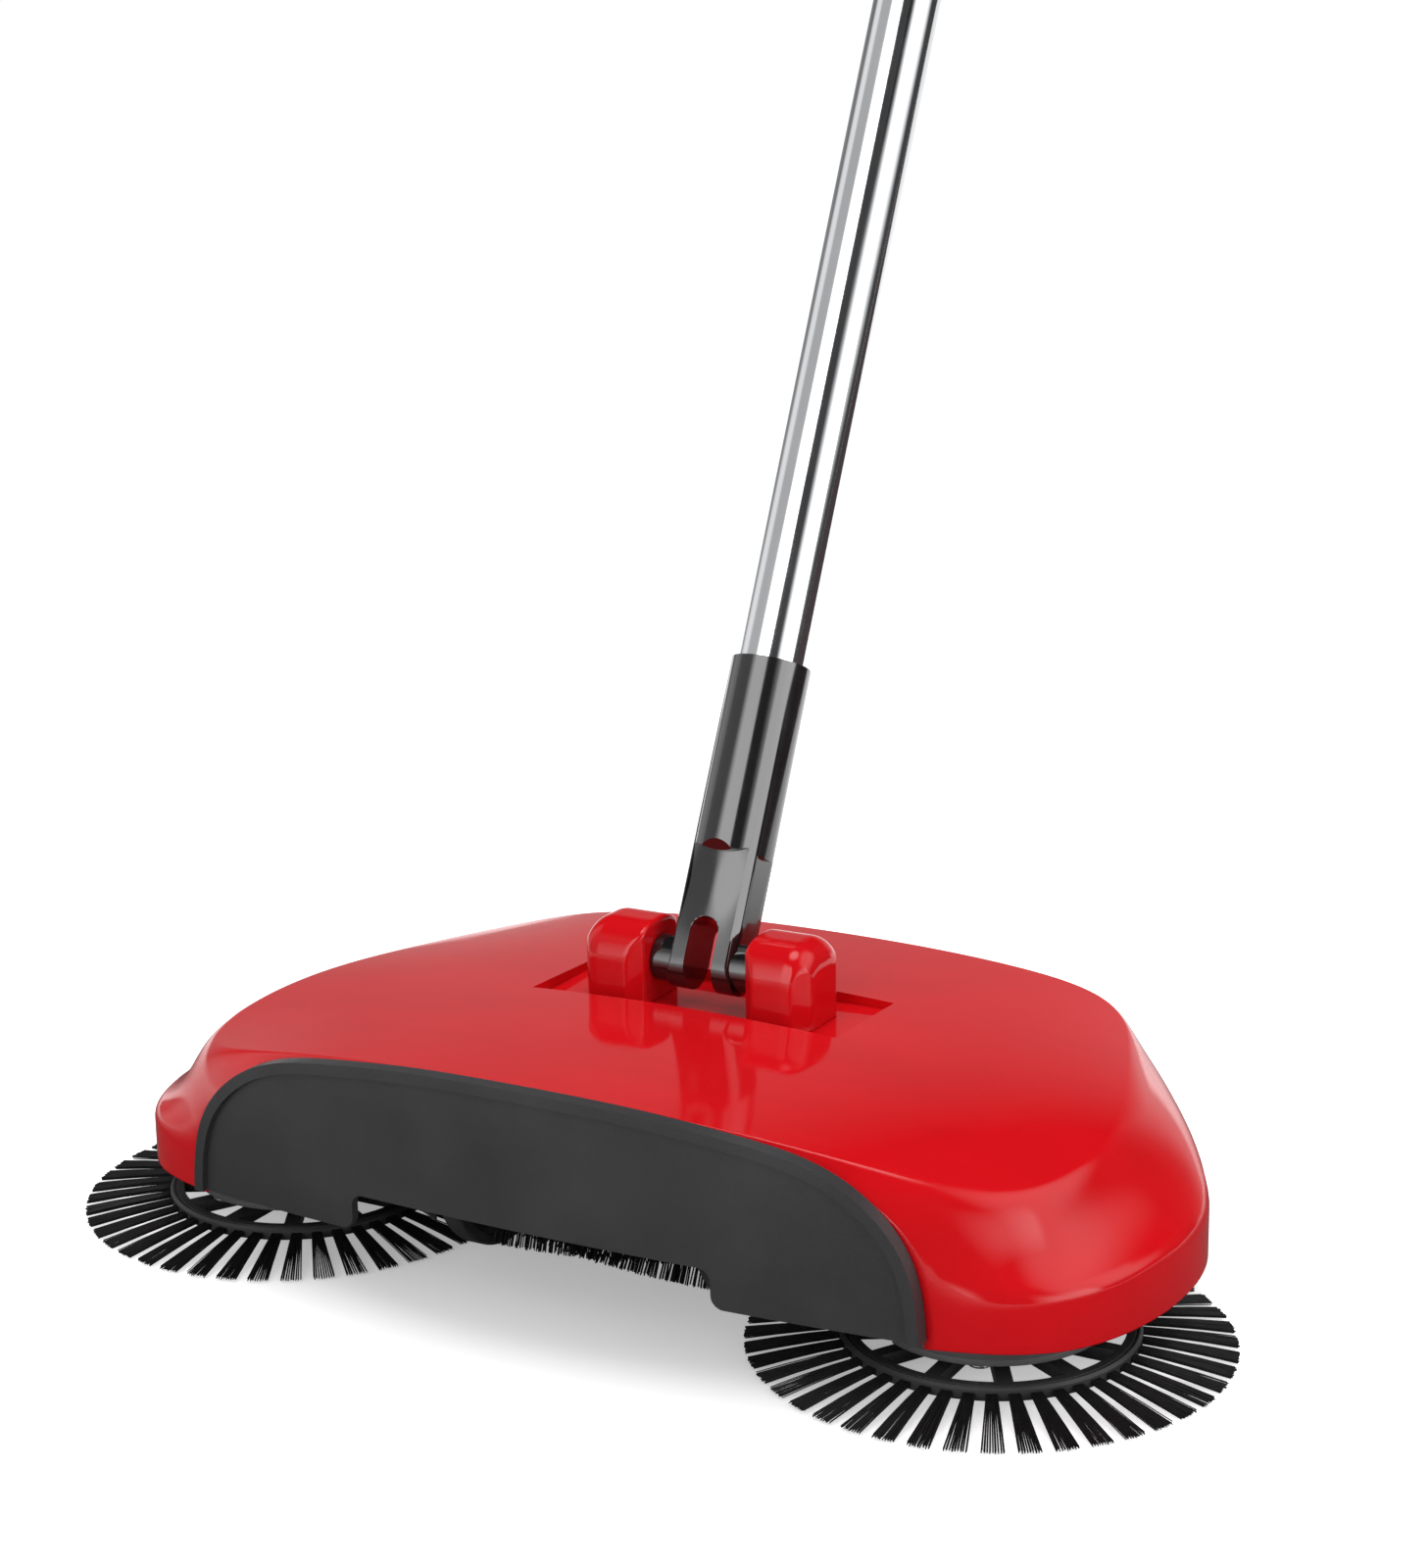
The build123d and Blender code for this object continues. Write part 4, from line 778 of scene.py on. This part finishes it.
def panel_arch():
    """Arch of the panel drawn in by the reveal, from the bottom up."""
    curve = natural_spline(PANEL_ARCH, ARCH_SAMPLES)
    along = np.gradient(curve, axis=0)
    along /= np.hypot(*along.T)[:, None]
    return curve + PANEL_REVEAL * np.stack([-along[:, 1], along[:, 0]], axis=1)


ARCH = panel_arch()
ARCH_END = ARCH[-1] - ARCH[-1 - ARCH_END_SAMPLES]


def panel_edge(z):
    """Half width of the shell at the panel at a height, running on past the arch along its tangent."""
    top_x, top_z = ARCH[-1]
    if z > top_z:
        return float(top_x + (z - top_z) * ARCH_END[0] / ARCH_END[1])
    return float(np.interp(z, ARCH[:, 1], ARCH[:, 0]))


def level_curve(z):
    """Right half of the outline at a height, from the panel to the rear middle."""
    share = max(0.0, (z - SKIRT_TOP_Z) / (LOFT_TOP_Z - SKIRT_TOP_Z))
    part = min(1.0, share / HOLLOW_END)
    swell = part * (1 - part) ** 2 / HOLLOW_PEAK
    front_x = panel_edge(z)
    points = [(front_x, panel_back_y(front_x))]
    for (x, y), (dx, dy), hollow in zip(SKIRT, LEAN, HOLLOW):
        moved = share + hollow * swell
        points.append((x - moved * dx, y - moved * dy))
    side = natural_spline(points, SIDE_SAMPLES)
    rear = rear_arc(points[-1], SKIRT_REAR_Y - share * LEAN_REAR, REAR_SAMPLES)
    return np.concatenate([side, rear[1:]])


def dome_height(x, y):
    """Height of the dome, from the three sections by a parabola through them."""
    height = bend = fall = 0.0
    for i, (place, top, radius, outer) in enumerate(DOME):
        weight = 1.0
        for j, other in enumerate(DOME):
            if i != j:
                weight *= (y - other[0]) / (place - other[0])
        height += weight * top
        bend += weight / radius
        fall += weight * outer
    return height - bend * x * x / 2 - fall * (x / FALL_REACH) ** FALL_POWER


def soft_min(a, b, width):
    """Lower of two heights, rounded where they cross."""
    overlap = max(width - abs(a - b), 0.0) / width
    return min(a, b) - overlap * overlap * width / 4


def fade(distance, length):
    """One at the start, falling smoothly to nothing at the length."""
    part = min(1.0, max(0.0, distance / length))
    return 1 - part * part * (3 - 2 * part)


def spaced(curve, marks):
    """Points on a curve at the given shares of its length."""
    lengths = travelled(curve)
    places = np.array(marks) * lengths[-1]
    return np.stack([np.interp(places, lengths, curve[:, axis]) for axis in range(2)], axis=1)


def share_at_depth(curve, depth):
    """Share of a curve's length where it first passes the given y."""
    lengths = travelled(curve)
    index = int(np.argmax(curve[:, 1] >= depth))
    low, high = curve[index - 1], curve[index]
    part = (depth - low[1]) / (high[1] - low[1])
    return (lengths[index - 1] + part * (lengths[index] - lengths[index - 1])) / lengths[-1]


def along_outline(mark, values):
    """Value at a share of the outline, from values at the outline's points."""
    front_x = PANEL_ARCH[0][0]
    outline = [(front_x, panel_back_y(front_x))] + SKIRT + [(0, SKIRT_REAR_Y)]
    lengths = travelled(outline)
    return float(np.interp(mark, lengths / lengths[-1], values + [values[-1]]))


# Skin of the shell, as rows of points of its right half
def shell_columns():
    """Shares along the outline, with one exactly level with each end of the recess."""
    inner = level_curve(CREASE_END_Z)
    front_mark = share_at_depth(inner, RECESS_FRONT_Y)
    rear_mark = share_at_depth(inner, RECESS_REAR_Y)
    return np.concatenate(
        [
            np.linspace(0, front_mark, FRONT_COLUMNS, endpoint=False),
            np.linspace(front_mark, rear_mark, RECESS_COLUMNS, endpoint=False),
            np.linspace(rear_mark, 1, REAR_COLUMNS),
        ]
    )


def skirt_rows(marks):
    """Rows of the upright skirt, whose lower edge dips at the ends."""
    drops = [along_outline(mark, BOTTOM_DROPS) for mark in marks]
    rows = []
    for rise in SKIRT_RISES:
        level = SKIRT_BOTTOM_Z + rise
        share = 1 - rise / (SKIRT_TOP_Z - SKIRT_BOTTOM_Z)
        curve = spaced(level_curve(level), marks)
        rows.append([(x, y, level - share * drop) for (x, y), drop in zip(curve, drops)])
    return rows


def band_rows(marks):
    """Rows of the leaning band, which runs into the dome over a rounded crease."""
    widths = [along_outline(mark, CREASE_WIDTHS) for mark in marks]
    rows = []
    for level in np.linspace(SKIRT_TOP_Z, CREASE_END_Z, BAND_ROWS):
        row = []
        for (x, y), width in zip(spaced(level_curve(level), marks), widths):
            row.append((x, y, soft_min(level, dome_height(x, y), width)))
        rows.append(row)
    return rows


def deck_rows(marks):
    """Rows of the deck, from the crease to the side of the recess and on to the middle."""
    inner = spaced(level_curve(CREASE_END_Z), marks)
    front_y = inner[0][1]
    rear_y = inner[-1][1]
    travels = travelled(inner)
    rearmost = int(np.argmax(inner[:, 1]))
    turn = float(np.interp(RECESS_REAR_Y, inner[:rearmost, 1], travels[:rearmost]))
    rows = []
    for step in range(1, EDGE_ROWS + SPINE_ROWS + 1):
        row = []
        for (x, y), travel in zip(inner, travels):
            edge_x = min(RECESS_HALF, x / EDGE_RATIO)
            if step <= EDGE_ROWS:
                place_x = x + (edge_x - x) * step / EDGE_ROWS
            else:
                place_x = edge_x * (1 - (step - EDGE_ROWS) / SPINE_ROWS)
            if travel > turn:
                part = (travel - turn) / (travels[-1] - turn)
                spine_y = RECESS_REAR_Y + (rear_y - RECESS_REAR_Y) * (1 - (1 - part) ** SPINE_POWER)
                share = place_x / x if x else 0.0
                place_y = spine_y + (y - spine_y) * share**FLARE_POWER
            else:
                bow = panel_back_y(place_x) - panel_back_y(x)
                place_y = y + bow * fade(y - front_y, BOW_FADE)
            row.append((place_x, place_y, dome_height(place_x, place_y)))
        rows.append(row)
    return rows


def ease_fold(rows, fold, marks):
    """Round the fold where the band meets the skirt, more at some places than at others."""
    for column, mark in enumerate(marks):
        width = along_outline(mark, FOLD_WIDTHS)
        profile = np.array([row[column] for row in rows])
        corner = profile[fold]
        skirt = profile[: fold + 1]
        lower = np.array([np.interp(corner[2] - width, skirt[:, 2], skirt[:, axis]) for axis in range(3)])
        lengths = travelled(profile[fold : fold + FOLD_ROWS])
        end = int(np.searchsorted(lengths, width))
        upper = profile[fold + end]
        for row in range(1, fold + end):
            offset = profile[row][2] - corner[2] if row < fold else lengths[row - fold]
            if offset > -width:
                part = (offset + width) / (2 * width)
                point = (1 - part) ** 2 * lower + 2 * part * (1 - part) * corner + part**2 * upper
                rows[row][column] = tuple(point)


def shell_rows():
    """Rows from the skirt's lower edge to the middle of the deck."""
    marks = shell_columns()
    rows = skirt_rows(marks)
    fold = len(rows)
    rows += band_rows(marks) + deck_rows(marks)
    ease_fold(rows, fold, marks)
    return rows


def grid_mesh(rows):
    """Mirrored grid of quads from rows of the right half."""
    bm = bmesh.new()
    for side in (1, -1):
        grid = [[bm.verts.new((side * x * MM, y * MM, z * MM)) for x, y, z in row] for row in rows]
        for low, high in zip(grid, grid[1:]):
            for i in range(len(low) - 1):
                corners = [low[i], low[i + 1], high[i + 1], high[i]]
                bm.faces.new(corners if side > 0 else corners[::-1])
    bmesh.ops.remove_doubles(bm, verts=bm.verts, dist=SKIN_WELD * MM)
    return bm


def inside_recess(face):
    centre = face.calc_center_median()
    beside = RECESS_FRONT_Y * MM < centre.y < RECESS_REAR_Y * MM
    return beside and abs(centre.x) < RECESS_HALF * MM and centre.z > RECESS_FLOOR_Z * MM


def in_tray_opening(face):
    centre = face.calc_center_median()
    return abs(centre.x) < TRAY_HALF * MM and centre.y > 0 and centre.z < SKIRT_TOP_Z * MM


def sink_recess(bm):
    """Press the rectangle round the bosses down to a flat floor with upright sides."""
    faces = [face for face in bm.faces if inside_recess(face)]
    lid = set(faces)
    floor = {}
    for vert in dict.fromkeys(vert for face in faces for vert in face.verts):
        floor[vert] = bm.verts.new((vert.co.x, vert.co.y, RECESS_FLOOR_Z * MM))
    for face in faces:
        bm.faces.new([floor[vert] for vert in face.verts])
        for loop in face.loops:
            if any(other not in lid for other in loop.edge.link_faces):
                start, end = loop.vert, loop.link_loop_next.vert
                bm.faces.new([start, end, floor[end], floor[start]])
    bmesh.ops.delete(bm, geom=faces, context="FACES")


def make_shell():
    """Outer skin with its recess and the tray's opening, thickened inwards."""
    bm = grid_mesh(shell_rows())
    sink_recess(bm)
    opening = [face for face in bm.faces if in_tray_opening(face)]
    bmesh.ops.delete(bm, geom=opening, context="FACES")
    bmesh.ops.recalc_face_normals(bm, faces=bm.faces)
    shell = new_object("shell_skin", mesh_of("shell_skin", bm))
    smooth(shell, SHELL_ANGLE)
    wall = shell.modifiers.new("wall", "SOLIDIFY")
    wall.thickness = (SHELL_WALL - WALL_RELIEF) * MM
    wall.offset = -1
    wall.use_even_offset = False
    finish_piece(shell, "shell_red", "body", "top_shell")


make_shell()


# Brush bristles
def strand(points, faces, start, end, radius, bow, rings):
    """One tapered filament from start to end, bowed by the given vector."""
    axis = (end - start).normalized()
    across = axis.orthogonal().normalized()
    other = axis.cross(across)
    first = len(points)
    for ring in range(rings):
        share = ring / (rings - 1)
        centre = start.lerp(end, share) + bow * (4 * share * (1 - share))
        size = radius * (1 - STRAND_TAPER * share)
        for side in range(STRAND_SIDES):
            angle = 2 * math.pi * (side + 0.5) / STRAND_SIDES
            points.append(centre + (across * math.cos(angle) + other * math.sin(angle)) * size)
    for ring in range(rings - 1):
        for side in range(STRAND_SIDES):
            a = first + ring * STRAND_SIDES + side
            b = first + ring * STRAND_SIDES + (side + 1) % STRAND_SIDES
            faces.append((a, b, b + STRAND_SIDES, a + STRAND_SIDES))
    last = first + (rings - 1) * STRAND_SIDES
    faces.append(tuple(first + side for side in reversed(range(STRAND_SIDES))))
    faces.append(tuple(last + side for side in range(STRAND_SIDES)))


def lathe(profile, segments, matrix):
    """Closed ring of a profile of (radius, height) turned about the matrix's Z."""
    points, faces = [], []
    count = len(profile)
    for step in range(segments):
        angle = 2 * math.pi * step / segments
        for radius, height in profile:
            place = Vector((radius * math.cos(angle), radius * math.sin(angle), height))
            points.append(matrix @ place)
    for step in range(segments):
        following = (step + 1) % segments
        for i in range(count):
            j = (i + 1) % count
            corners = (step, i), (following, i), (following, j), (step, j)
            faces.append(tuple(row * count + place for row, place in corners))
    return points, faces


def new_piece(name, points, faces, angle):
    piece = new_object(name, mesh_from(name, points, faces))
    smooth(piece, angle)
    return piece


def disc_bristles(side, draw):
    """Tufts of a disc brush: rows of filaments that fan out and droop to the floor."""
    points, faces = [], []
    centre = Vector((side * DISC_X, 0, 0))
    for tuft in range(TUFTS):
        angle = 2 * math.pi * tuft / TUFTS
        out = Vector((math.cos(angle), math.sin(angle), 0))
        along = Vector((-math.sin(angle), math.cos(angle), 0))
        for layer in range(TUFT_LAYERS):
            level = (layer - (TUFT_LAYERS - 1) / 2) * LAYER_GAP
            for place in range(TUFT_ACROSS):
                share = place / (TUFT_ACROSS - 1) - 0.5
                wander = draw.uniform(-TIP_WANDER, TIP_WANDER)
                root = share * TUFT_ROOT_WIDTH * TUFT_ROOT_FILL
                start = centre + out * (RING_INNER_R + ROOT_INSET) + along * root
                start.z = ROOT_Z + level
                tip_r = DISC_TIP_R - TIP_GAP - draw.random() * TIP_VARY
                sweep = share * TUFT_TIP_WIDTH + wander
                end = centre + out * math.sqrt(tip_r**2 - sweep**2) + along * sweep
                end.z = TIP_Z + level * LAYER_TIP_SHARE + draw.uniform(-TIP_JITTER, TIP_JITTER)
                bow = Vector((0, 0, STRAND_BOW + draw.uniform(-TIP_JITTER, TIP_JITTER)))
                strand(points, faces, start, end, STRAND_R, bow, STRAND_RINGS)
    return points, faces


def disc_ring(side):
    """Ring that holds the tufts of a disc brush."""
    profile = [
        (RING_INNER_R, RING_BOTTOM_Z + RING_INNER_EDGE),
        (RING_INNER_R + RING_INNER_EDGE, RING_BOTTOM_Z),
        (RING_OUTER_R - RING_FOOT_EDGE, RING_BOTTOM_Z),
        (RING_OUTER_R, RING_BOTTOM_Z + RING_FOOT_EDGE),
        (RING_OUTER_R, RING_TOP_Z - RING_TOP_EDGE),
        (RING_OUTER_R - RING_TOP_EDGE, RING_TOP_Z),
        (RING_INNER_R + RING_INNER_EDGE, RING_TOP_Z),
        (RING_INNER_R, RING_TOP_Z - RING_INNER_EDGE),
    ]
    return lathe(profile, RING_SEGMENTS, Matrix.Translation((side * DISC_X, 0, 0)))


def on_roller(x, turn, radius):
    """Place round the axle at a turn from the top, in radians."""
    return Vector((x, -math.sin(turn) * radius, AXLE_Z + math.cos(turn) * radius))


def roller_bristles(draw):
    """Tufts of the roller in slightly twisted rows."""
    points, faces = [], []
    pitch = 2 * ROLLER_HALF / ROLLER_TUFTS
    limit = ROLLER_HALF - ROLLER_END_GAP
    root_r = ROLLER_CORE_R * ROLLER_ROOT_RATIO
    for row in range(ROLLER_ROWS):
        for tuft in range(ROLLER_TUFTS):
            along = -ROLLER_HALF + (tuft + 0.5) * pitch
            turn = 2 * math.pi * row / ROLLER_ROWS + math.radians(ROLLER_TWIST) * along / ROLLER_HALF
            for _ in range(ROLLER_STRANDS):
                spin = draw.uniform(0, 2 * math.pi)
                reach = math.sqrt(draw.random())
                dx, dt = reach * math.cos(spin), reach * math.sin(spin)
                tip_r = ROLLER_TIP_R - ROLLER_TIP_GAP - draw.random() * ROLLER_TIP_VARY
                tip_x = max(-limit, min(limit, along + ROLLER_TIP_SPREAD * dx))
                start = on_roller(along + ROLLER_ROOT_SPREAD * dx, turn + ROLLER_ROOT_FAN * dt, root_r)
                end = on_roller(tip_x, turn + ROLLER_TIP_FAN * dt, tip_r)
                strand(points, faces, start, end, ROLLER_STRAND_R, Vector((0, 0, 0)), ROLLER_STRAND_RINGS)
    return points, faces


def roller_sleeve():
    """Backing of the roller's tufts, round its core."""
    rim_r = ROLLER_BACKING_R - ROLLER_BACKING_EDGE
    rim = ROLLER_HALF - ROLLER_BACKING_EDGE
    profile = [
        (ROLLER_CORE_R, -ROLLER_HALF),
        (rim_r, -ROLLER_HALF),
        (ROLLER_BACKING_R, -rim),
        (ROLLER_BACKING_R, rim),
        (rim_r, ROLLER_HALF),
        (ROLLER_CORE_R, ROLLER_HALF),
    ]
    matrix = Matrix.Translation((0, 0, AXLE_Z)) @ Matrix.Rotation(math.radians(90), 4, "Y")
    return lathe(profile, ROLLER_BACKING_SEGMENTS, matrix)


draw = random.Random(SEED)
for name, side in SIDES:
    tufts = new_piece(f"disc_tufts_{name}", *disc_bristles(side, draw), ROUND_ANGLE)
    finish_piece(tufts, "brush_black", f"disc_{name}", f"brush_bristles_{name}")
    ring = new_piece(f"disc_ring_{name}", *disc_ring(side), CRISP_ANGLE)
    finish_piece(ring, "disc_grey", f"disc_{name}", f"brush_bristles_{name}")
roller_tufts = new_piece("roller_tufts", *roller_bristles(draw), ROUND_ANGLE)
finish_piece(roller_tufts, "brush_black", "axle", "roller_bristles")
sleeve = new_piece("roller_sleeve", *roller_sleeve(), CRISP_ANGLE)
finish_piece(sleeve, "gear_black", "axle", "roller_bristles")


# Floor and light
def make_floor():
    """Pale floor that keeps the shadow, with painted shade under and near the object, reads as white to the
    camera and is clear from below.
    """
    corners = [(x * FLOOR_HALF, y * FLOOR_HALF, 0) for x, y in ((-1, -1), (1, -1), (1, 1), (-1, 1))]
    floor = new_object("floor", mesh_from("floor", corners, [(0, 1, 2, 3)]))
    floor.location.z = -FLOOR_DROP * MM
    nodes = Nodes("floor_white")
    nodes.set(Roughness=0.9, Specular_IOR_Level=0.0, Emission_Color=(1, 1, 1, 1))
    shape = nodes.add("ShaderNodeMapping")
    shape.inputs["Location"].default_value = FLOOR_SHIFT
    shape.inputs["Scale"].default_value = FLOOR_STRETCH
    nodes.link(nodes.place, shape.inputs["Vector"])
    length = nodes.add("ShaderNodeVectorMath", operation="LENGTH")
    nodes.link(shape.outputs["Vector"], length.inputs[0])
    distance = length.outputs["Value"]
    rays = nodes.add("ShaderNodeLightPath").outputs
    mirrored = nodes.combine("ADD", rays["Is Glossy Ray"], rays["Is Transmission Ray"], clamp=True)
    # Painted shade in reflections: the floor's colour is darker near the object for mirrored rays only
    painted_dim = nodes.combine("MULTIPLY", mirrored, nodes.ramp(distance, FLOOR_PAINTED_DIM, 0.0, *PAINTED_DIM_REACH))
    nodes.link(nodes.combine("SUBTRACT", FLOOR_TONE, painted_dim), nodes.shader.inputs["Base Color"])
    # Painted shade to the camera: the floor is lifted less towards white under and near the object
    seen_ramp = nodes.ramp(distance, SEEN_SHADE_LIFT, FAR_LIFT, *SEEN_REACH)
    # Painted shade in reflections: the mirrored floor is lifted less towards white near the object
    mirrored_ramp = nodes.ramp(distance, MIRRORED_SHADE_LIFT, FAR_LIFT, *MIRRORED_REACH)
    seen_lift = nodes.combine("MULTIPLY", rays["Is Camera Ray"], seen_ramp)
    mirrored_lift = nodes.combine("MULTIPLY", mirrored, mirrored_ramp)
    nodes.link(nodes.combine("ADD", seen_lift, mirrored_lift), nodes.shader.inputs["Emission Strength"])
    mix = nodes.add("ShaderNodeMixShader")
    nodes.link(nodes.add("ShaderNodeNewGeometry").outputs["Backfacing"], mix.inputs["Fac"])
    nodes.link(nodes.shader.outputs["BSDF"], mix.inputs[1])
    nodes.link(nodes.add("ShaderNodeBsdfTransparent").outputs["BSDF"], mix.inputs[2])
    nodes.surface(mix.outputs["Shader"])
    floor.data.materials.append(nodes.material)


def background(tree, strength):
    """White surroundings of a strength."""
    node = tree.nodes.new("ShaderNodeBackground")
    node.inputs["Color"].default_value = (1, 1, 1, 1)
    node.inputs["Strength"].default_value = strength
    return node.outputs["Background"]


def make_world():
    """White surroundings to the camera and in reflections, softer as light."""
    world = bpy.data.worlds.new("studio")
    bpy.context.scene.world = world
    world.use_nodes = True
    tree = world.node_tree
    tree.nodes.clear()
    rays = tree.nodes.new("ShaderNodeLightPath").outputs
    seen = tree.nodes.new("ShaderNodeMath")
    tree.links.new(rays["Is Camera Ray"], seen.inputs[0])
    tree.links.new(rays["Is Glossy Ray"], seen.inputs[1])
    white = tree.nodes.new("ShaderNodeMath")
    white.use_clamp = True
    tree.links.new(seen.outputs[0], white.inputs[0])
    tree.links.new(rays["Is Transmission Ray"], white.inputs[1])
    mix = tree.nodes.new("ShaderNodeMixShader")
    tree.links.new(white.outputs[0], mix.inputs["Fac"])
    tree.links.new(background(tree, WORLD_LIGHT), mix.inputs[1])
    tree.links.new(background(tree, 1.0), mix.inputs[2])
    output = tree.nodes.new("ShaderNodeOutputWorld")
    tree.links.new(mix.outputs["Shader"], output.inputs["Surface"])


def around(turn, distance, height):
    """A place round the object in metres, turned from the camera's side to its right."""
    angle = math.radians(CAMERA_AZIMUTH + turn)
    return Vector((math.sin(angle) * distance, -math.cos(angle) * distance, height))


def soft_light(name, place, size, radiance):
    """Softbox of an even brightness, out of the reflections, with its place and size in metres."""
    data = bpy.data.lights.new(name, "AREA")
    data.shape = "RECTANGLE"
    data.size, data.size_y = size
    data.energy = radiance * math.pi * size[0] * size[1]
    lamp = new_object(name, data)
    lamp.location = place
    lamp.rotation_euler = (Vector(LAMP_TARGET) - Vector(place)).to_track_quat("-Z", "Y").to_euler()
    lamp.visible_glossy = False


def direction(turn, rise):
    """Unit vector in the surround's own frame, where the camera's side is -Y."""
    turn, rise = math.radians(turn), math.radians(rise)
    return (math.sin(turn) * math.cos(rise), -math.cos(turn) * math.cos(rise), math.sin(rise))


def only_in_reflections(obj):
    """Set a piece so that neither the camera nor the light sees it."""
    obj.visible_camera = False
    obj.visible_diffuse = False
    obj.visible_shadow = False
    obj.visible_transmission = False


def low_tone(nodes, share, height, bands, strength, start, end):
    """Tones of one set of bands by turn, fading out between two rises."""
    stops = [(turn / 360 + 0.5, (tone, tone, tone)) for turn, tone in bands]
    fall = nodes.ramp(height, strength, 0, math.sin(math.radians(start)), math.sin(math.radians(end)))
    return nodes.combine("MULTIPLY", nodes.blend(share, stops), fall)


def soft_glow(nodes, unit, turn, rise, inner, outer, strength):
    """One soft light, full within the inner angle and out at the outer one."""
    near = nodes.add("ShaderNodeVectorMath", operation="DOT_PRODUCT")
    near.inputs[1].default_value = direction(turn, rise)
    nodes.link(unit, near.inputs[0])
    glow = nodes.add("ShaderNodeMapRange", interpolation_type="SMOOTHSTEP")
    glow.inputs["From Min"].default_value = math.cos(math.radians(outer))
    glow.inputs["From Max"].default_value = math.cos(math.radians(inner))
    glow.inputs["To Max"].default_value = strength
    nodes.link(near.outputs["Value"], glow.inputs["Value"])
    return glow.outputs["Result"]


def surround_material():
    """Pale and dark bands low down, dark above, and soft lights."""
    nodes = Nodes("surround")
    normal = nodes.add("ShaderNodeVectorMath", operation="NORMALIZE")
    nodes.link(nodes.place, normal.inputs[0])
    unit = normal.outputs["Vector"]
    split = nodes.add("ShaderNodeSeparateXYZ")
    nodes.link(unit, split.inputs["Vector"])
    facing = nodes.combine("MULTIPLY", split.outputs["Y"], -1)
    turned = nodes.combine("ARCTAN2", split.outputs["X"], facing)
    share = nodes.ramp(turned, 0, 1, -math.pi, math.pi)
    tones = [low_tone(nodes, share, split.outputs["Z"], *values) for values in LOW_BANDS]
    tones += [soft_glow(nodes, unit, *values) for values in SOFT_LIGHTS]
    total = tones[0]
    for tone in tones[1:]:
        total = nodes.combine("ADD", total, tone)
    glow = nodes.add("ShaderNodeEmission")
    nodes.link(total, glow.inputs["Strength"])
    nodes.surface(glow.outputs["Emission"])
    return nodes.material


def make_surround():
    """Half sphere that only shows in reflections."""
    bm = bmesh.new()
    bmesh.ops.create_uvsphere(
        bm, u_segments=SURROUND_SEGMENTS, v_segments=SURROUND_RINGS, radius=SURROUND_R
    )
    low = [vert for vert in bm.verts if vert.co.z < -SURROUND_DROP]
    bmesh.ops.delete(bm, geom=low, context="VERTS")
    surround = new_object("surround", mesh_of("surround", bm))
    surround.rotation_euler.z = math.radians(CAMERA_AZIMUTH)
    surround.location.z = -SURROUND_DROP
    surround.data.materials.append(surround_material())
    only_in_reflections(surround)


def make_dark_sector():
    """Dark sector of the floor that only shows in reflections."""
    near, far = DARK_REACH
    first, last = DARK_TURNS
    places = ((first, near), (first, far), (last, far), (last, near))
    corners = [around(turn, reach, DARK_RISE) / MM for turn, reach in places]
    sector = new_object("dark_sector", mesh_from("dark_sector", corners, [(0, 1, 2, 3)]))
    nodes = Nodes("dark_sector")
    nodes.set(Base_Color=(0, 0, 0, 1), Roughness=1.0, Specular_IOR_Level=0.0)
    nodes.set(Emission_Color=(*DARK_TONE, 1), Emission_Strength=1.0)
    sector.data.materials.append(nodes.material)
    only_in_reflections(sector)


make_floor()
make_world()
make_surround()
make_dark_sector()
soft_light("strip_left", place=around(-34, 1.9, 1.05), size=(1.1, 2.2), radiance=1.7)
soft_light("strip_right", place=around(50, 1.9, 0.6), size=(1.1, 2.2), radiance=1.8)
soft_light("top", place=(-0.1, 0.6, 2.2), size=(1.6, 1.6), radiance=4.3)

bpy.context.scene.view_settings.view_transform = "Standard"
